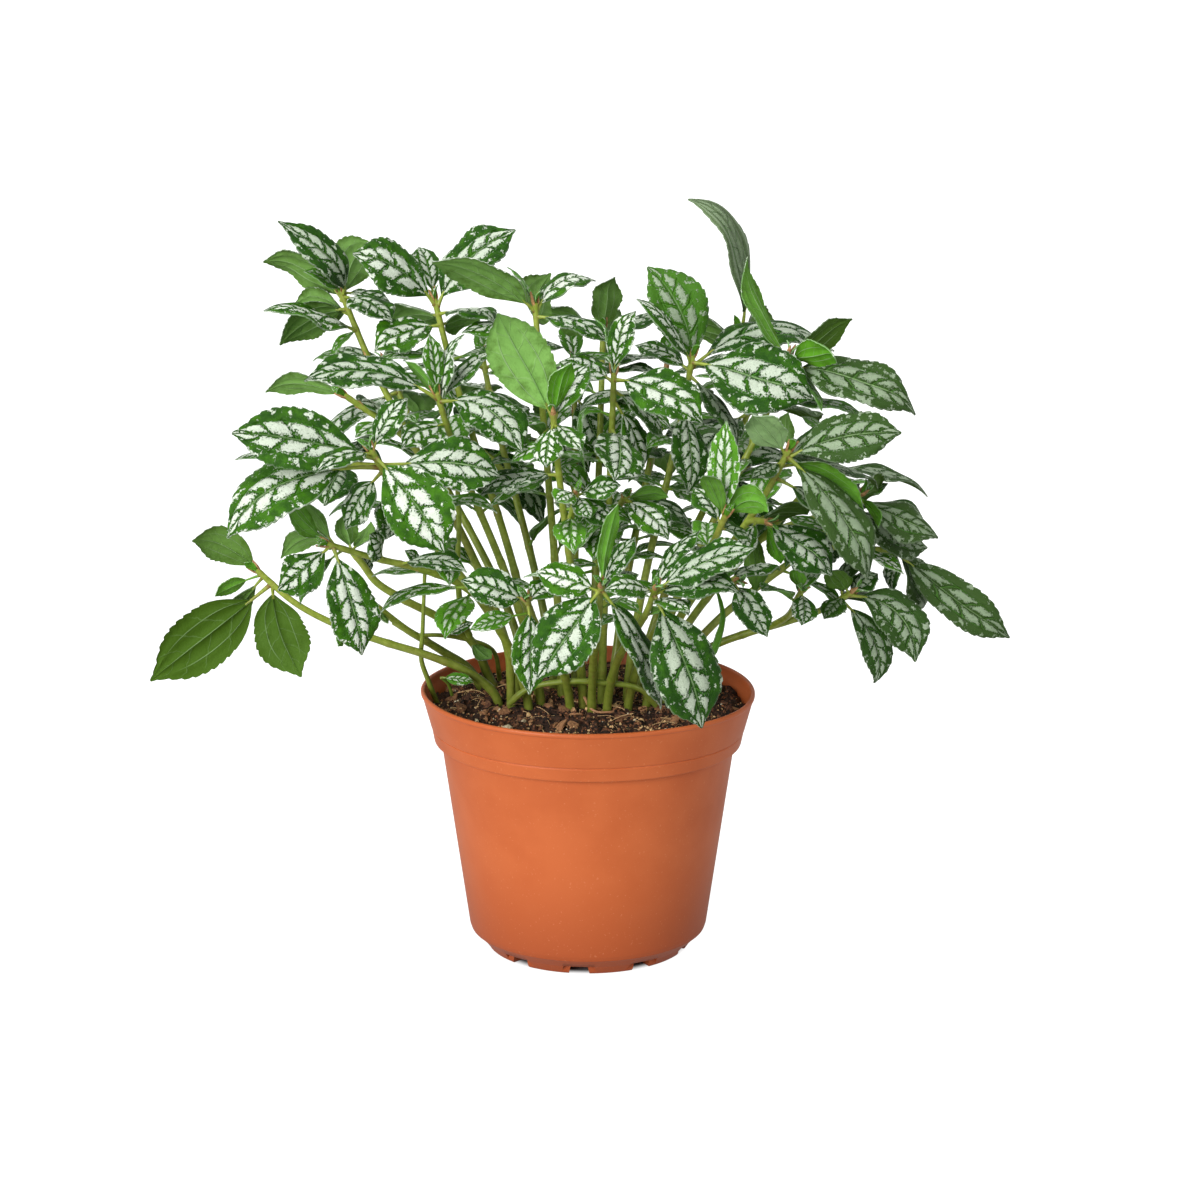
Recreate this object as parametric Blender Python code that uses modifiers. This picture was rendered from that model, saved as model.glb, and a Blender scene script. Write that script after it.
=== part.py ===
"""A potted aluminum plant: a moulded nursery pot, its soil and the leafy stems that grow from it.

Metres, +Z up, with the origin on the floor under the middle of the pot.
The plant is laid out as it is seen from the front, by a viewer a little above it.
"""

import math
import random

import bmesh
import bpy
from mathutils import Vector
from mathutils.bvhtree import BVHTree
from mathutils.kdtree import KDTree

MM = 0.001

# Pot
POT_HEIGHT = 120 * MM
WALL = 1.4 * MM
FLOOR_Z = 3.6 * MM
FLOOR_THICKNESS = 1.6 * MM
POT_SIDES = 32
FOOT_OUTER = 46 * MM
FOOT_INNER = 37 * MM
FOOT_COUNT = 10
NOTCH_WIDTH = 11 * MM
NOTCH_PHASE = math.radians(-95)
DRAIN_HOLES = 5
DRAIN_RADIUS = 4.5 * MM
DRAIN_CIRCLE = 25 * MM

# Outer side of the pot from the lip down, as radius and height
POT_OUTSIDE = (
    (76.0, 120.0), (75.4, 118.0), (70.9, 102.6), (70.2, 101.8),
    (69.8, 95.6), (65.6, 89.6), (64.9, 88.0), (53.5, 10.5), (49.6, 3.6),
)
# Heights at which the inner wall bends
INSIDE_LEVELS = (102.6, 95.6, 89.6, 10.5)

# Soil
SOIL_EDGE_Z = 112.5 * MM
SOIL_TOP_Z = 115.5 * MM
SOIL_GAP = 0.4 * MM
HOLE_DEPTH = 14 * MM
HOLE_SIDES = 6

# Viewer that the layout is read from
VIEW_TILT = math.radians(16.4)
VIEW_DISTANCE = 1800 * MM

# Stems
FOOT_NEAR = 7 * MM
FOOT_FAR = 50 * MM
REACH_FAR = 185 * MM
# The front of the soil is bare, so the stems at the front stand nearer the middle
FRONT_FOOT_SHARE = 0.6
STEM_RADIUS_LOW = 2.1 * MM
STEM_RADIUS_TOP = 1.3 * MM
SHOOT_RADIUS_LOW = 1.6 * MM
STEM_POINTS = 6
STEM_CLEARANCE = 2.2 * MM

# Leaves
BLADE_THICKNESS = 0.7 * MM
BLADE_GAP = 0.35 * MM
PETIOLE_HALF_WIDTH = 0.85 * MM
ROOT_OFFSET = 0.4 * MM
ARCH = 0.13

# Half-widths along the blade, from its base to its tip, with the notches between the teeth
LARGE_EDGE = ((0.0, 0.10), (0.2, 0.74), (0.46, 1.0), (0.68, 0.90), (0.72, 0.76))
MEDIUM_EDGE = ((0.0, 0.12), (0.32, 0.92), (0.62, 0.97), (0.67, 0.83))
SMALL_EDGE = ((0.0, 0.15), (0.48, 1.0))
HIDDEN_DEPTH = 20
LARGE_WIDTH = 20
MEDIUM_WIDTH = 12


def leaf(right, up, away, width, show, down=3, bow=(0, 0), neck=0.12):
    """One leaf: its tip from the shoot's top as the viewer sees it, in mm, and how it lies.

    show is the share of the upper face that the viewer sees, and is negative for the underside.
    down is how far below the shoot's top the leaf grows, and bow bends it right and up.
    """
    return {"tip": (right, up, away), "width": width, "show": show, "down": down, "bow": bow, "neck": neck}


def shoot(right, up, depth, leaves, fork=None, bend=(0, 0)):
    """One leafy shoot: where its top is seen, its real depth behind the pot's middle, and its leaves.

    fork is how far up the main stem a side shoot leaves it, and bend moves a stem's middle right and up.
    """
    return {"top": (right, up, depth), "leaves": leaves, "fork": fork, "bend": bend}


PLANTS = {
    "leafy_stem_front_middle": [
        shoot(6, 48, -104, [
            leaf(-28, -44, -8, 28, 0.95, neck=0.1),
            leaf(29, -57, 10, 20, 0.65),
            leaf(-30, 6, 6, 18, 0.85, 6),
            leaf(17, 7, 12, 16, 0.6, 6),
            leaf(9, 38, 0, 9, -0.7, 1),
            leaf(16, 22, 14, 16, 0.5, 5),
        ]),
    ],
    "leafy_stem_front_right": [
        shoot(31, 47, -102, [
            leaf(23, -64, -6, 33, 0.95, 5),
            leaf(45, 19, -4, 22, 0.78),
            leaf(39, 3, -24, 22, 0.65, 6),
            leaf(19, 27, 16, 16, 0.6, 4),
            leaf(-22, 1, -6, 14, 0.7, 4),
            leaf(15, -11, -16, 14, 0.4, 10),
        ]),
    ],
    "leafy_stem_front_left": [
        shoot(-28, 42, -90, [
            leaf(1, -44, -14, 18, 0.9, 4),
            leaf(-30, 8, -2, 20, 0.85),
            leaf(12, 8, 8, 15, 0.8, 3),
            leaf(-26, -14, 0, 9, 0.9, 12, neck=0.3),
            leaf(-22, 13, 14, 14, 0.4, 8),
        ]),
    ],
    "leafy_stem_left_front": [
        shoot(-99, 110, -75, [
            leaf(34, -47, -12, 30, 1.0, 4, bow=(1, 2)),
            leaf(-64, 8, -6, 30, 0.9, 5),
            leaf(-69, -37, -14, 31, 0.88, 10, bow=(-3, 5), neck=0.22),
            leaf(61, -9, 8, 26, 0.9, 9, neck=0.2),
            leaf(15, 25, 4, 15, 0.9, 1),
            leaf(-25, -8, -16, 15, 0.7, 2),
            leaf(-12, -36, 0, 22, 0.7, 12, neck=0.2),
            leaf(9, -42, 10, 20, 0.6, 16, neck=0.25),
        ]),
    ],
    "leafy_stem_left_low": [
        shoot(-119, 67, -70, [
            leaf(17, -51, -8, 24, 0.95),
            leaf(-23, -20, -6, 21, 0.85, 2, bow=(1, -2)),
            leaf(-19, 24, 6, 14, -0.6, 4),
            leaf(-15, -27, 2, 9, 0.6, 9, neck=0.2),
            leaf(-23, -5, 8, 13, -0.7, 5, bow=(0, 5)),
            leaf(63, -10, -6, 14, 0.6, 40),
            leaf(20, 4, 8, 18, 0.5, 30),
        ], bend=(16, 13)),
    ],
    "leafy_stem_far_left": [
        shoot(-151, 55, -10, [
            leaf(-49, -50, -6, 28, -0.95, 9, bow=(1, -1), neck=0.18),
            leaf(20, -49, -4, 26, -0.95, 9, bow=(-4, 0)),
            leaf(-30, 14, 0, 18, -0.85, 2, bow=(1, 3)),
            leaf(-23, -45, 10, 14, -0.7, 4),
            leaf(-20, -12, -8, 8, -0.8, 3, neck=0.3),
            leaf(37, -35, -4, 7, -0.5, 50),
        ], bend=(-2, -8)),
    ],
    "leafy_stem_right_front": [
        shoot(92, 110, -45, [
            leaf(51, 5, -4, 25, 0.92, 6, bow=(0, 4)),
            leaf(41, -58, -12, 27, 0.72, 3),
            leaf(-17, 16, -8, 20, -0.8, 3),
            leaf(35, -26, 8, 18, -0.7, 5),
            leaf(45, -15, 18, 18, 0.5, 9),
            leaf(-17, -13, -8, 14, 0.6, 7),
            leaf(31, -41, -18, 24, 0.6, 15, neck=0.2),
            leaf(28, 14, 12, 18, 0.5, 7),
        ]),
        shoot(82, 77, -42, [
            leaf(30, -24, -14, 26, 0.8, 2),
            leaf(7, -19, -8, 12, -0.7, 1),
            leaf(-11, -17, -4, 14, 0.6, 6),
            leaf(-4, -33, 6, 13, -0.8, 14),
            leaf(20, 4, 34, 24, -0.3, 6),
        ], fork=0.72),
    ],
    "leafy_stem_middle_front_right": [
        shoot(63, 80, -75, [
            leaf(21, 2, -8, 15, -0.85, 3, bow=(0, 6)),
            leaf(2, 43, 2, 16, 0.9, 2),
            leaf(-11, 20, -4, 10, -0.8, 2),
            leaf(-14, 13, 12, 16, 0.7, 6),
            leaf(12, -11, 10, 14, 0.5, 8),
        ]),
        shoot(68, 50, -76, [
            leaf(13, -26, -10, 17, 0.9),
            leaf(-15, -40, -10, 8, -0.3, 18, bow=(10, 2)),
            leaf(20, 8, 22, 18, 0.4, 6),
        ], fork=0.62),
    ],
    "leafy_stem_middle_front": [
        shoot(-16, 127, -55, [
            leaf(-28, 47, -4, 28, -0.95, 3, neck=0.08),
            leaf(17, 23, 14, 18, 0.6, 5),
            leaf(8, 23, 2, 13, -0.8, 2),
            leaf(-3, -25, -8, 16, 0.8, 5),
            leaf(12, -18, -10, 13, 0.8, 6),
            leaf(-20, -21, 0, 10, 0.7, 16),
            leaf(-34, -36, 6, 22, 0.42, 31),
        ]),
        shoot(-5, 91, -62, [
            leaf(-10, -4, -11, 12, 0.8, 2),
            leaf(6, -12, -12, 13, 0.85, 3),
            leaf(20, 3, -2, 13, 0.8, 4),
            leaf(16, -15, -10, 15, 0.85, 6),
        ], fork=0.55),
    ],
    "leafy_stem_middle": [
        shoot(12, 145, -20, [
            leaf(41, -21, -22, 28, 0.8, bow=(0, 2)),
            leaf(7, 30, 4, 14, 0.85, 1),
            leaf(-25, 6, 12, 22, 0.6, 4),
            leaf(14, -45, 4, 20, 0.6, 12, neck=0.2),
            leaf(23, -28, 10, 18, 0.5, 8),
            leaf(-6, 27, 16, 8, 0.5, 4),
            leaf(3, -51, -28, 24, 0.85, 26),
            leaf(-13, -45, -6, 9, 0.35, 20, bow=(-6, 12)),
        ]),
        shoot(17, 89, -45, [
            leaf(21, -19, -12, 19, 0.8),
            leaf(20, 1, 10, 10, -0.6, 3),
            leaf(34, -13, 4, 20, 0.6, 6),
        ], fork=0.5),
    ],
    "leafy_stem_middle_left": [
        shoot(-69, 136, -35, [
            leaf(-61, 7, -10, 28, 0.66, 3, bow=(0, 4), neck=0.15),
            leaf(38, -27, -22, 26, 0.85, 4, bow=(4, 5)),
            leaf(-4, 27, 0, 11, 0.9, 1),
            leaf(26, 20, 14, 18, 0.6, 4),
            leaf(-14, 15, 10, 9, -0.5, 4),
            leaf(-17, -24, -10, 20, 0.8, 15),
            leaf(9, 28, 8, 15, 0.5, 9),
        ]),
    ],
    "leafy_stem_middle_right": [
        shoot(48, 153, 0, [
            leaf(-20, 42, 6, 28, 0.95, 4, bow=(4, 0), neck=0.08),
            leaf(54, -20, -18, 37, 0.88),
            leaf(64, 4, 34, 28, 0.55, 6, bow=(-1, 8)),
            leaf(-24, 24, -8, 14, 0.5, 4),
            leaf(21, -40, -18, 20, 0.35, 9),
            leaf(-1, -62, -26, 20, 0.85, 24),
            leaf(-32, -27, -4, 16, 0.4, 22),
            leaf(-26, 6, 12, 18, 0.5, 7),
        ]),
    ],
    "leafy_stem_right_upper": [
        shoot(92, 153, -2, [
            leaf(61, -22, -12, 28, 0.8, 5),
            leaf(-24, 43, -2, 20, -0.25, 3, bow=(-3, -2)),
            leaf(27, 19, 12, 19, -0.6, 5, bow=(1, -2)),
            leaf(22, -1, -6, 17, -0.7, 2),
            leaf(16, -25, -12, 8, 0.4, 4),
        ]),
        shoot(70, 164, 32, [
            leaf(-20, 64, -8, 24, 0.25, 2, bow=(5, 5)),
            leaf(14, 2, 40, 24, -0.6, 4),
            leaf(-28, 2, 30, 24, -0.4, 7),
        ], fork=0.75),
    ],
    "leafy_stem_upper_left": [
        shoot(-113, 183, 38, [
            leaf(-29, 31, -10, 20, 0.75, 3, bow=(8, -2)),
            leaf(23, -13, -20, 22, 0.55, 3),
            leaf(-35, 16, 12, 24, -0.6, 6, bow=(1, 2)),
            leaf(14, 21, 20, 22, -0.8, 5, bow=(-2, 4)),
            leaf(-15, 9, 0, 9, 0.7, 1),
            leaf(-22, -6, 16, 20, -0.7, 12),
            leaf(-27, -26, 8, 23, -0.7, 9, bow=(0, 3)),
            leaf(-32, -6, -16, 22, 0.32, 20, bow=(0, -2)),
            leaf(-4, -30, -8, 9, 0.5, 19),
        ]),
        shoot(-111, 135, 18, [
            leaf(-37, 4, 8, 14, -0.5, bow=(0, 2)),
            leaf(20, -9, 24, 22, 0.4, 5),
        ], fork=0.6),
    ],
    "leafy_stem_upper_middle_left": [
        shoot(-70, 179, 22, [
            leaf(-37, 20, -14, 28, 0.88, bow=(0, 4)),
            leaf(37, 32, 6, 29, 0.8, 4, bow=(-3, 1)),
            leaf(29, -8, -20, 24, 0.32, 7),
            leaf(-28, -22, -12, 26, 0.65, 12),
            leaf(20, -9, 14, 18, -0.5, 12),
            leaf(-18, -10, 34, 22, -0.4, 8),
        ]),
    ],
    "leafy_stem_upper_middle": [
        shoot(-24, 177, 10, [
            leaf(-48, 20, -24, 21, -0.55, 4, bow=(3, 0)),
            leaf(28, 11, 14, 20, 0.6, 4, bow=(-2, 4)),
            leaf(34, -16, -16, 22, 0.35, 6),
            leaf(-12, 17, 10, 8, 0.3, 1),
            leaf(-34, -12, -8, 20, 0.5, 14),
            leaf(-14, -23, 4, 18, 0.5, 15),
            leaf(4, 12, 40, 22, -0.6, 9),
        ]),
    ],
    "leafy_stem_upper_back": [
        shoot(7, 165, 58, [
            leaf(4, 25, 4, 18, -0.8, 2),
            leaf(-30, 10, 14, 22, -0.4, 4),
            leaf(30, 6, 18, 22, 0.3, 4),
            leaf(10, 2, 34, 24, -0.5, 9),
        ]),
    ],
    "leafy_stem_right_middle": [
        shoot(125, 90, -4, [
            leaf(36, -20, -6, 24, 0.75, 3, bow=(-1, -2)),
            leaf(31, -25, 10, 22, 0.7, 7, bow=(-2, -4)),
            leaf(9, -16, -8, 7, -0.6, 2),
            leaf(8, 2, 38, 24, -0.4, 8),
        ]),
        shoot(145, 64, 8, [
            leaf(49, -42, -6, 21, 0.95, 6, bow=(-1, -2)),
            leaf(13, -26, -8, 22, 0.65),
            leaf(8, -28, 2, 9, 0.7, 4),
            leaf(-6, -2, 38, 22, -0.4, 8),
        ], fork=0.7),
    ],
    "leafy_stem_right_low": [
        shoot(121, 45, -18, [
            leaf(30, -32, -10, 25, 0.9, bow=(5, 6)),
            leaf(12, -43, -6, 16, 0.9, 7, bow=(5, 0)),
            leaf(-11, 11, -4, 14, -0.8, 2),
            leaf(11, 9, 6, 18, 0.6, 3),
            leaf(-2, 15, 16, 16, 0.5, 6),
            leaf(-13, -12, -8, 13, 0.7, 4),
            leaf(18, -4, 38, 24, 0.3, 9),
        ]),
        shoot(98, 46, -48, [
            leaf(1, -16, -10, 13, 0.9),
            leaf(-4, 10, 0, 9, -0.8, 2),
        ], fork=0.6),
    ],
}

# Shoots behind the ones that the front view shows: right, up and depth of each top.
# Every second one forks from the stem before it.
BACK_SHOOTS = {
    "leafy_stem_back_far_left": ((-92, 150, 72), (-126, 106, 52)),
    "leafy_stem_back_left": ((-48, 152, 62), (-64, 122, 83)),
    "leafy_stem_back_middle": ((-6, 150, 76), (-24, 122, 87)),
    "leafy_stem_back_middle_right": ((36, 148, 66), (32, 116, 85)),
    "leafy_stem_back_right": ((78, 140, 68), (74, 104, 81)),
    "leafy_stem_back_far_right": ((114, 112, 58), (122, 84, 38)),
}
BACK_SEED = 7
BACK_FORK = 0.6
# Leaves down a back shoot: their number, how far below its top, length, width and rise in degrees
BACK_LEAVES = ((1, 1, 24, 11, 40), (2, 5, 42, 21, 14), (2, 15, 50, 25, -16))


def look_axes():
    """The viewer's right, up and forward directions."""
    sine, cosine = math.sin(VIEW_TILT), math.cos(VIEW_TILT)
    return Vector((1, 0, 0)), Vector((0, sine, cosine)), Vector((0, cosine, -sine))


def seen(right, up, depth):
    """The point at a real depth (world Y) that the viewer sees right and up of the rim's middle, in mm."""
    x_axis, up_axis, forward = look_axes()
    right, up, depth = right * MM, up * MM, depth * MM
    along = (depth - up * up_axis.y) / (forward.y + up * up_axis.y / VIEW_DISTANCE)
    scale = 1 + along / VIEW_DISTANCE
    return Vector((0, 0, POT_HEIGHT)) + (x_axis * right + up_axis * up) * scale + forward * along


def clear_scene():
    for old in list(bpy.data.objects):
        bpy.data.objects.remove(old, do_unlink=True)


def new_collection(name):
    made = bpy.data.collections.new(name)
    bpy.context.scene.collection.children.link(made)
    return made


def material(name, colour, roughness):
    made = bpy.data.materials.new(name)
    made.use_nodes = True
    shader = made.node_tree.nodes["Principled BSDF"]
    shader.inputs["Base Color"].default_value = (*colour, 1)
    shader.inputs["Roughness"].default_value = roughness
    shader.inputs["Metallic"].default_value = 0
    made.diffuse_color = (*colour, 1)
    return made


def mesh_object(name, verts, faces, collection):
    mesh = bpy.data.meshes.new(name)
    mesh.from_pydata(verts, [], faces)
    mesh.update()
    made = bpy.data.objects.new(name, mesh)
    collection.objects.link(made)
    return made


def take_evaluated(obj):
    """Replaces an object's mesh by its evaluated one, with its modifiers applied."""
    graph = bpy.context.evaluated_depsgraph_get()
    mesh = bpy.data.meshes.new_from_object(obj.evaluated_get(graph))
    obj.modifiers.clear()
    obj.data = mesh
    return obj


def turned(name, profile, sides, collection):
    """A closed solid turned about Z from a profile of radius and height in metres, axis to axis."""
    rows = [(radius, 0, height) for radius, height in profile]
    made = mesh_object(name, rows, [], collection)
    made.data.edges.add(len(rows) - 1)
    for index, edge in enumerate(made.data.edges):
        edge.vertices = (index, index + 1)
    screw = made.modifiers.new("turn", "SCREW")
    screw.steps = sides
    screw.render_steps = sides
    screw.use_merge_vertices = True
    screw.merge_threshold = 0.00005
    return take_evaluated(made)


def drop_scraps(mesh):
    """Keeps a mesh's largest connected body."""
    shape = bmesh.new()
    shape.from_mesh(mesh)
    left = set(shape.verts)
    bodies = []
    while left:
        first = left.pop()
        body, reached = [first], [first]
        while reached:
            for edge in reached.pop().link_edges:
                for vert in edge.verts:
                    if vert in left:
                        left.remove(vert)
                        body.append(vert)
                        reached.append(vert)
        bodies.append(body)
    bodies.sort(key=len)
    for body in bodies[:-1]:
        bmesh.ops.delete(shape, geom=body, context="VERTS")
    shape.to_mesh(mesh)
    shape.free()


def boolean(obj, operation, collection):
    """Joins a collection to an object or cuts it away, and removes the collection with its objects."""
    step = obj.modifiers.new(operation.lower(), "BOOLEAN")
    step.operation = operation
    step.operand_type = "COLLECTION"
    step.collection = collection
    step.solver = "EXACT"
    take_evaluated(obj)
    drop_scraps(obj.data)
    for used in list(collection.objects):
        bpy.data.objects.remove(used, do_unlink=True)
    bpy.data.collections.remove(collection)
    return obj


def prism(name, centre, radius, low, high, sides, collection):
    """An upright prism, used as a cutter."""
    bpy.ops.mesh.primitive_cylinder_add(
        vertices=sides, radius=radius, depth=high - low, location=(centre[0], centre[1], (low + high) / 2)
    )
    made = bpy.context.object
    made.name = name
    for holder in list(made.users_collection):
        holder.objects.unlink(made)
    collection.objects.link(made)
    made.hide_render = True
    made.display_type = "WIRE"
    return made


def inside_radius(height):
    """Radius of the pot's inner wall at a height, in metres."""
    rows = [(radius * MM - WALL, level * MM) for radius, level in POT_OUTSIDE]
    for (upper_r, upper_z), (lower_r, lower_z) in zip(rows, rows[1:]):
        if lower_z <= height <= upper_z:
            share = (height - lower_z) / (upper_z - lower_z)
            return lower_r + (upper_r - lower_r) * share
    return rows[-1][0]


def make_pot(collection):
    floor_top = FLOOR_Z + FLOOR_THICKNESS
    outside = [(radius * MM, height * MM) for radius, height in POT_OUTSIDE]
    profile = [(0, floor_top), (inside_radius(floor_top), floor_top)]
    profile += [(inside_radius(level * MM), level * MM) for level in INSIDE_LEVELS[::-1]]
    profile += [(inside_radius(POT_HEIGHT), POT_HEIGHT)]
    profile += outside
    profile += [(FOOT_OUTER, FLOOR_Z), (FOOT_OUTER - 0.4 * MM, 0), (FOOT_INNER, 0), (FOOT_INNER, FLOOR_Z)]
    profile += [(0, FLOOR_Z)]
    pot = turned("pot", profile, POT_SIDES, collection)

    cutters = new_collection("pot cutters")
    middle = (FOOT_OUTER + FOOT_INNER) / 2
    for index in range(FOOT_COUNT):
        angle = NOTCH_PHASE + math.tau * index / FOOT_COUNT
        bpy.ops.mesh.primitive_cube_add(size=1, location=(middle * math.cos(angle), middle * math.sin(angle), 0))
        notch = bpy.context.object
        notch.scale = (FOOT_OUTER - FOOT_INNER + 4 * MM, NOTCH_WIDTH, (FLOOR_Z - 0.2 * MM) * 2)
        notch.rotation_euler.z = angle
        notch.hide_render = True
        notch.display_type = "WIRE"
        for holder in list(notch.users_collection):
            holder.objects.unlink(notch)
        cutters.objects.link(notch)
    for index in range(DRAIN_HOLES):
        angle = math.tau * index / DRAIN_HOLES
        spot = (DRAIN_CIRCLE * math.cos(angle), DRAIN_CIRCLE * math.sin(angle))
        prism("drain", spot, DRAIN_RADIUS, FLOOR_Z - 2 * MM, floor_top + 2 * MM, 8, cutters)
    return boolean(pot, "DIFFERENCE", cutters)


def make_soil(feet, collection):
    """The soil fills the pot, with a plain hole for each stem."""
    low = FLOOR_Z + FLOOR_THICKNESS + SOIL_GAP
    rise = SOIL_TOP_Z - SOIL_EDGE_Z
    profile = [(0, SOIL_TOP_Z), (30 * MM, SOIL_EDGE_Z + 0.75 * rise), (54 * MM, SOIL_EDGE_Z + 0.3 * rise)]
    levels = [SOIL_EDGE_Z] + [level * MM for level in INSIDE_LEVELS]
    profile += [(inside_radius(level) - SOIL_GAP, level) for level in levels]
    profile += [(inside_radius(low) - SOIL_GAP, low), (0, low)]
    soil = turned("soil", profile, POT_SIDES, collection)
    cutters = new_collection("stem holes")
    for place in feet:
        radius = (STEM_RADIUS_LOW + SOIL_GAP) / math.cos(math.pi / HOLE_SIDES)
        low_end = SOIL_EDGE_Z - HOLE_DEPTH - SOIL_GAP
        prism("hole", place, radius, low_end, SOIL_TOP_Z + 5 * MM, HOLE_SIDES, cutters)
    return boolean(soil, "DIFFERENCE", cutters)


def cubic(start, leave, arrive, end, share):
    rest = 1 - share
    return start * rest**3 + leave * (3 * rest**2 * share) + arrive * (3 * rest * share**2) + end * share**3


def spread_curve(start, heading, end, end_heading, count):
    """Points on a smooth curve between two places, with its headings at both ends."""
    reach = (end - start).length
    leave = start + heading * reach * 0.34
    arrive = end - end_heading * reach * 0.34
    return [cubic(start, leave, arrive, end, step / count) for step in range(count + 1)]


def stem_foot(top, turn):
    """Where a stem comes out of the soil: on the same side as its top, and nearer the middle."""
    reach = math.hypot(top.x, top.y)
    ring = FOOT_NEAR + (FOOT_FAR - FOOT_NEAR) * min(reach / REACH_FAR, 1)
    angle = math.atan2(top.y, top.x) + math.radians(turn)
    foot_x, foot_y = ring * math.cos(angle), ring * math.sin(angle)
    if foot_y < 0:
        foot_y *= FRONT_FOOT_SHARE
    return Vector((foot_x, foot_y, SOIL_TOP_Z + 1.5 * MM))


def main_path(top, sway, turn, bend):
    """A stem's path from the bottom of its hole to its top, with its foot turned aside by degrees."""
    foot = stem_foot(top, turn)
    outward = (top - foot).normalized()
    side = outward.cross(Vector((0, 0, 1))).normalized()
    points = spread_curve(
        foot, (Vector((0, 0, 1)) + outward * 0.6).normalized(), top,
        (outward + Vector((0, 0, 0.25))).normalized(), STEM_POINTS
    )
    x_axis, up_axis, _ = look_axes()
    shift = side * sway * MM + x_axis * bend[0] * MM + up_axis * bend[1] * MM
    for index, point in enumerate(points):
        point += shift * math.sin(math.pi * index / STEM_POINTS)
    return [Vector((foot.x, foot.y, SOIL_EDGE_Z - HOLE_DEPTH))] + points


def fork_path(main, top, fork):
    """A side shoot leaves the main stem partway up and bends to its own top."""
    spot = 1 + (len(main) - 2) * fork
    low = int(spot)
    start = main[low].lerp(main[low + 1], spot - low)
    along = (main[low + 1] - main[low]).normalized()
    outward = (top - start).normalized()
    return spread_curve(start, (along + outward * 0.7).normalized(), top, outward, STEM_POINTS - 2)


def thicken(points, low, high):
    last = len(points) - 1
    return [low + (high - low) * index / last for index in range(last + 1)]


def dense(points, radii, step=1.5 * MM):
    """Close points along a path, each with its radius."""
    rows = []
    for (start, low), (end, high) in zip(zip(points, radii), zip(points[1:], radii[1:])):
        count = max(int((end - start).length / step), 1)
        for index in range(count):
            share = index / count
            rows.append((start.lerp(end, share), low + (high - low) * share))
    rows.append((points[-1], radii[-1]))
    return rows


def stems_clash(rows, others):
    """Whether a path comes too near the stems that already stand."""
    for tree, radii in others:
        for point, radius in rows:
            _, index, distance = tree.find(point)
            if distance < radius + radii[index] + STEM_CLEARANCE:
                return True
    return False


def search_tree(rows):
    tree = KDTree(len(rows))
    for index, (point, _) in enumerate(rows):
        tree.insert(point, index)
    tree.balance()
    return tree, [radius for _, radius in rows]


def tube(name, points, radii, collection, fine=1):
    """A round stem along a path, as a closed mesh."""
    curve = bpy.data.curves.new(name, "CURVE")
    curve.dimensions = "3D"
    curve.bevel_depth = radii[0]
    curve.bevel_resolution = fine
    curve.use_fill_caps = True
    line = curve.splines.new("POLY")
    line.points.add(len(points) - 1)
    for spot, point, radius in zip(line.points, points, radii):
        spot.co = (*point, 1)
        spot.radius = radius / radii[0]
    holder = bpy.data.objects.new(name + " curve", curve)
    bpy.context.scene.collection.objects.link(holder)
    graph = bpy.context.evaluated_depsgraph_get()
    mesh = bpy.data.meshes.new_from_object(holder.evaluated_get(graph))
    shape = bmesh.new()
    shape.from_mesh(mesh)
    bmesh.ops.remove_doubles(shape, verts=shape.verts, dist=0.00001)
    shape.to_mesh(mesh)
    shape.free()
    made = bpy.data.objects.new(name, mesh)
    made.matrix_world = holder.matrix_world
    collection.objects.link(made)
    bpy.data.objects.remove(holder, do_unlink=True)
    return made


def tube_tree(points, radii):
    """The stem's surface, six-sided, for testing what would cross it."""
    verts, faces = [], []
    for index, point in enumerate(points):
        before, after = points[max(index - 1, 0)], points[min(index + 1, len(points) - 1)]
        along = (after - before).normalized()
        side = along.orthogonal().normalized()
        other = along.cross(side)
        for turn in range(6):
            angle = math.tau * turn / 6
            verts.append(point + (side * math.cos(angle) + other * math.sin(angle)) * radii[index])
    for ring in range(len(points) - 1):
        for turn in range(6):
            near, far = ring * 6 + turn, ring * 6 + (turn + 1) % 6
            faces.append((near, far, far + 6, near + 6))
    return BVHTree.FromPolygons(verts, faces)


def point_down(path, distance):
    """The point on a path at a distance below its top."""
    left = distance
    for end, start in zip(path[::-1], path[-2::-1]):
        length = (start - end).length
        if left <= length:
            return end.lerp(start, left / length)
        left -= length
    return path[0].copy()


def facing_normal(along, show):
    """The direction that a leaf's upper face looks in, from the share of it that the viewer sees."""
    toward = -look_axes()[2]
    front = (toward - along * toward.dot(along)).normalized()
    across = along.cross(front)
    rest = math.sqrt(max(1 - show * show, 0))
    options = [front * show + across * rest, front * show - across * rest]
    return max(options, key=lambda option: option.z)


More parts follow.
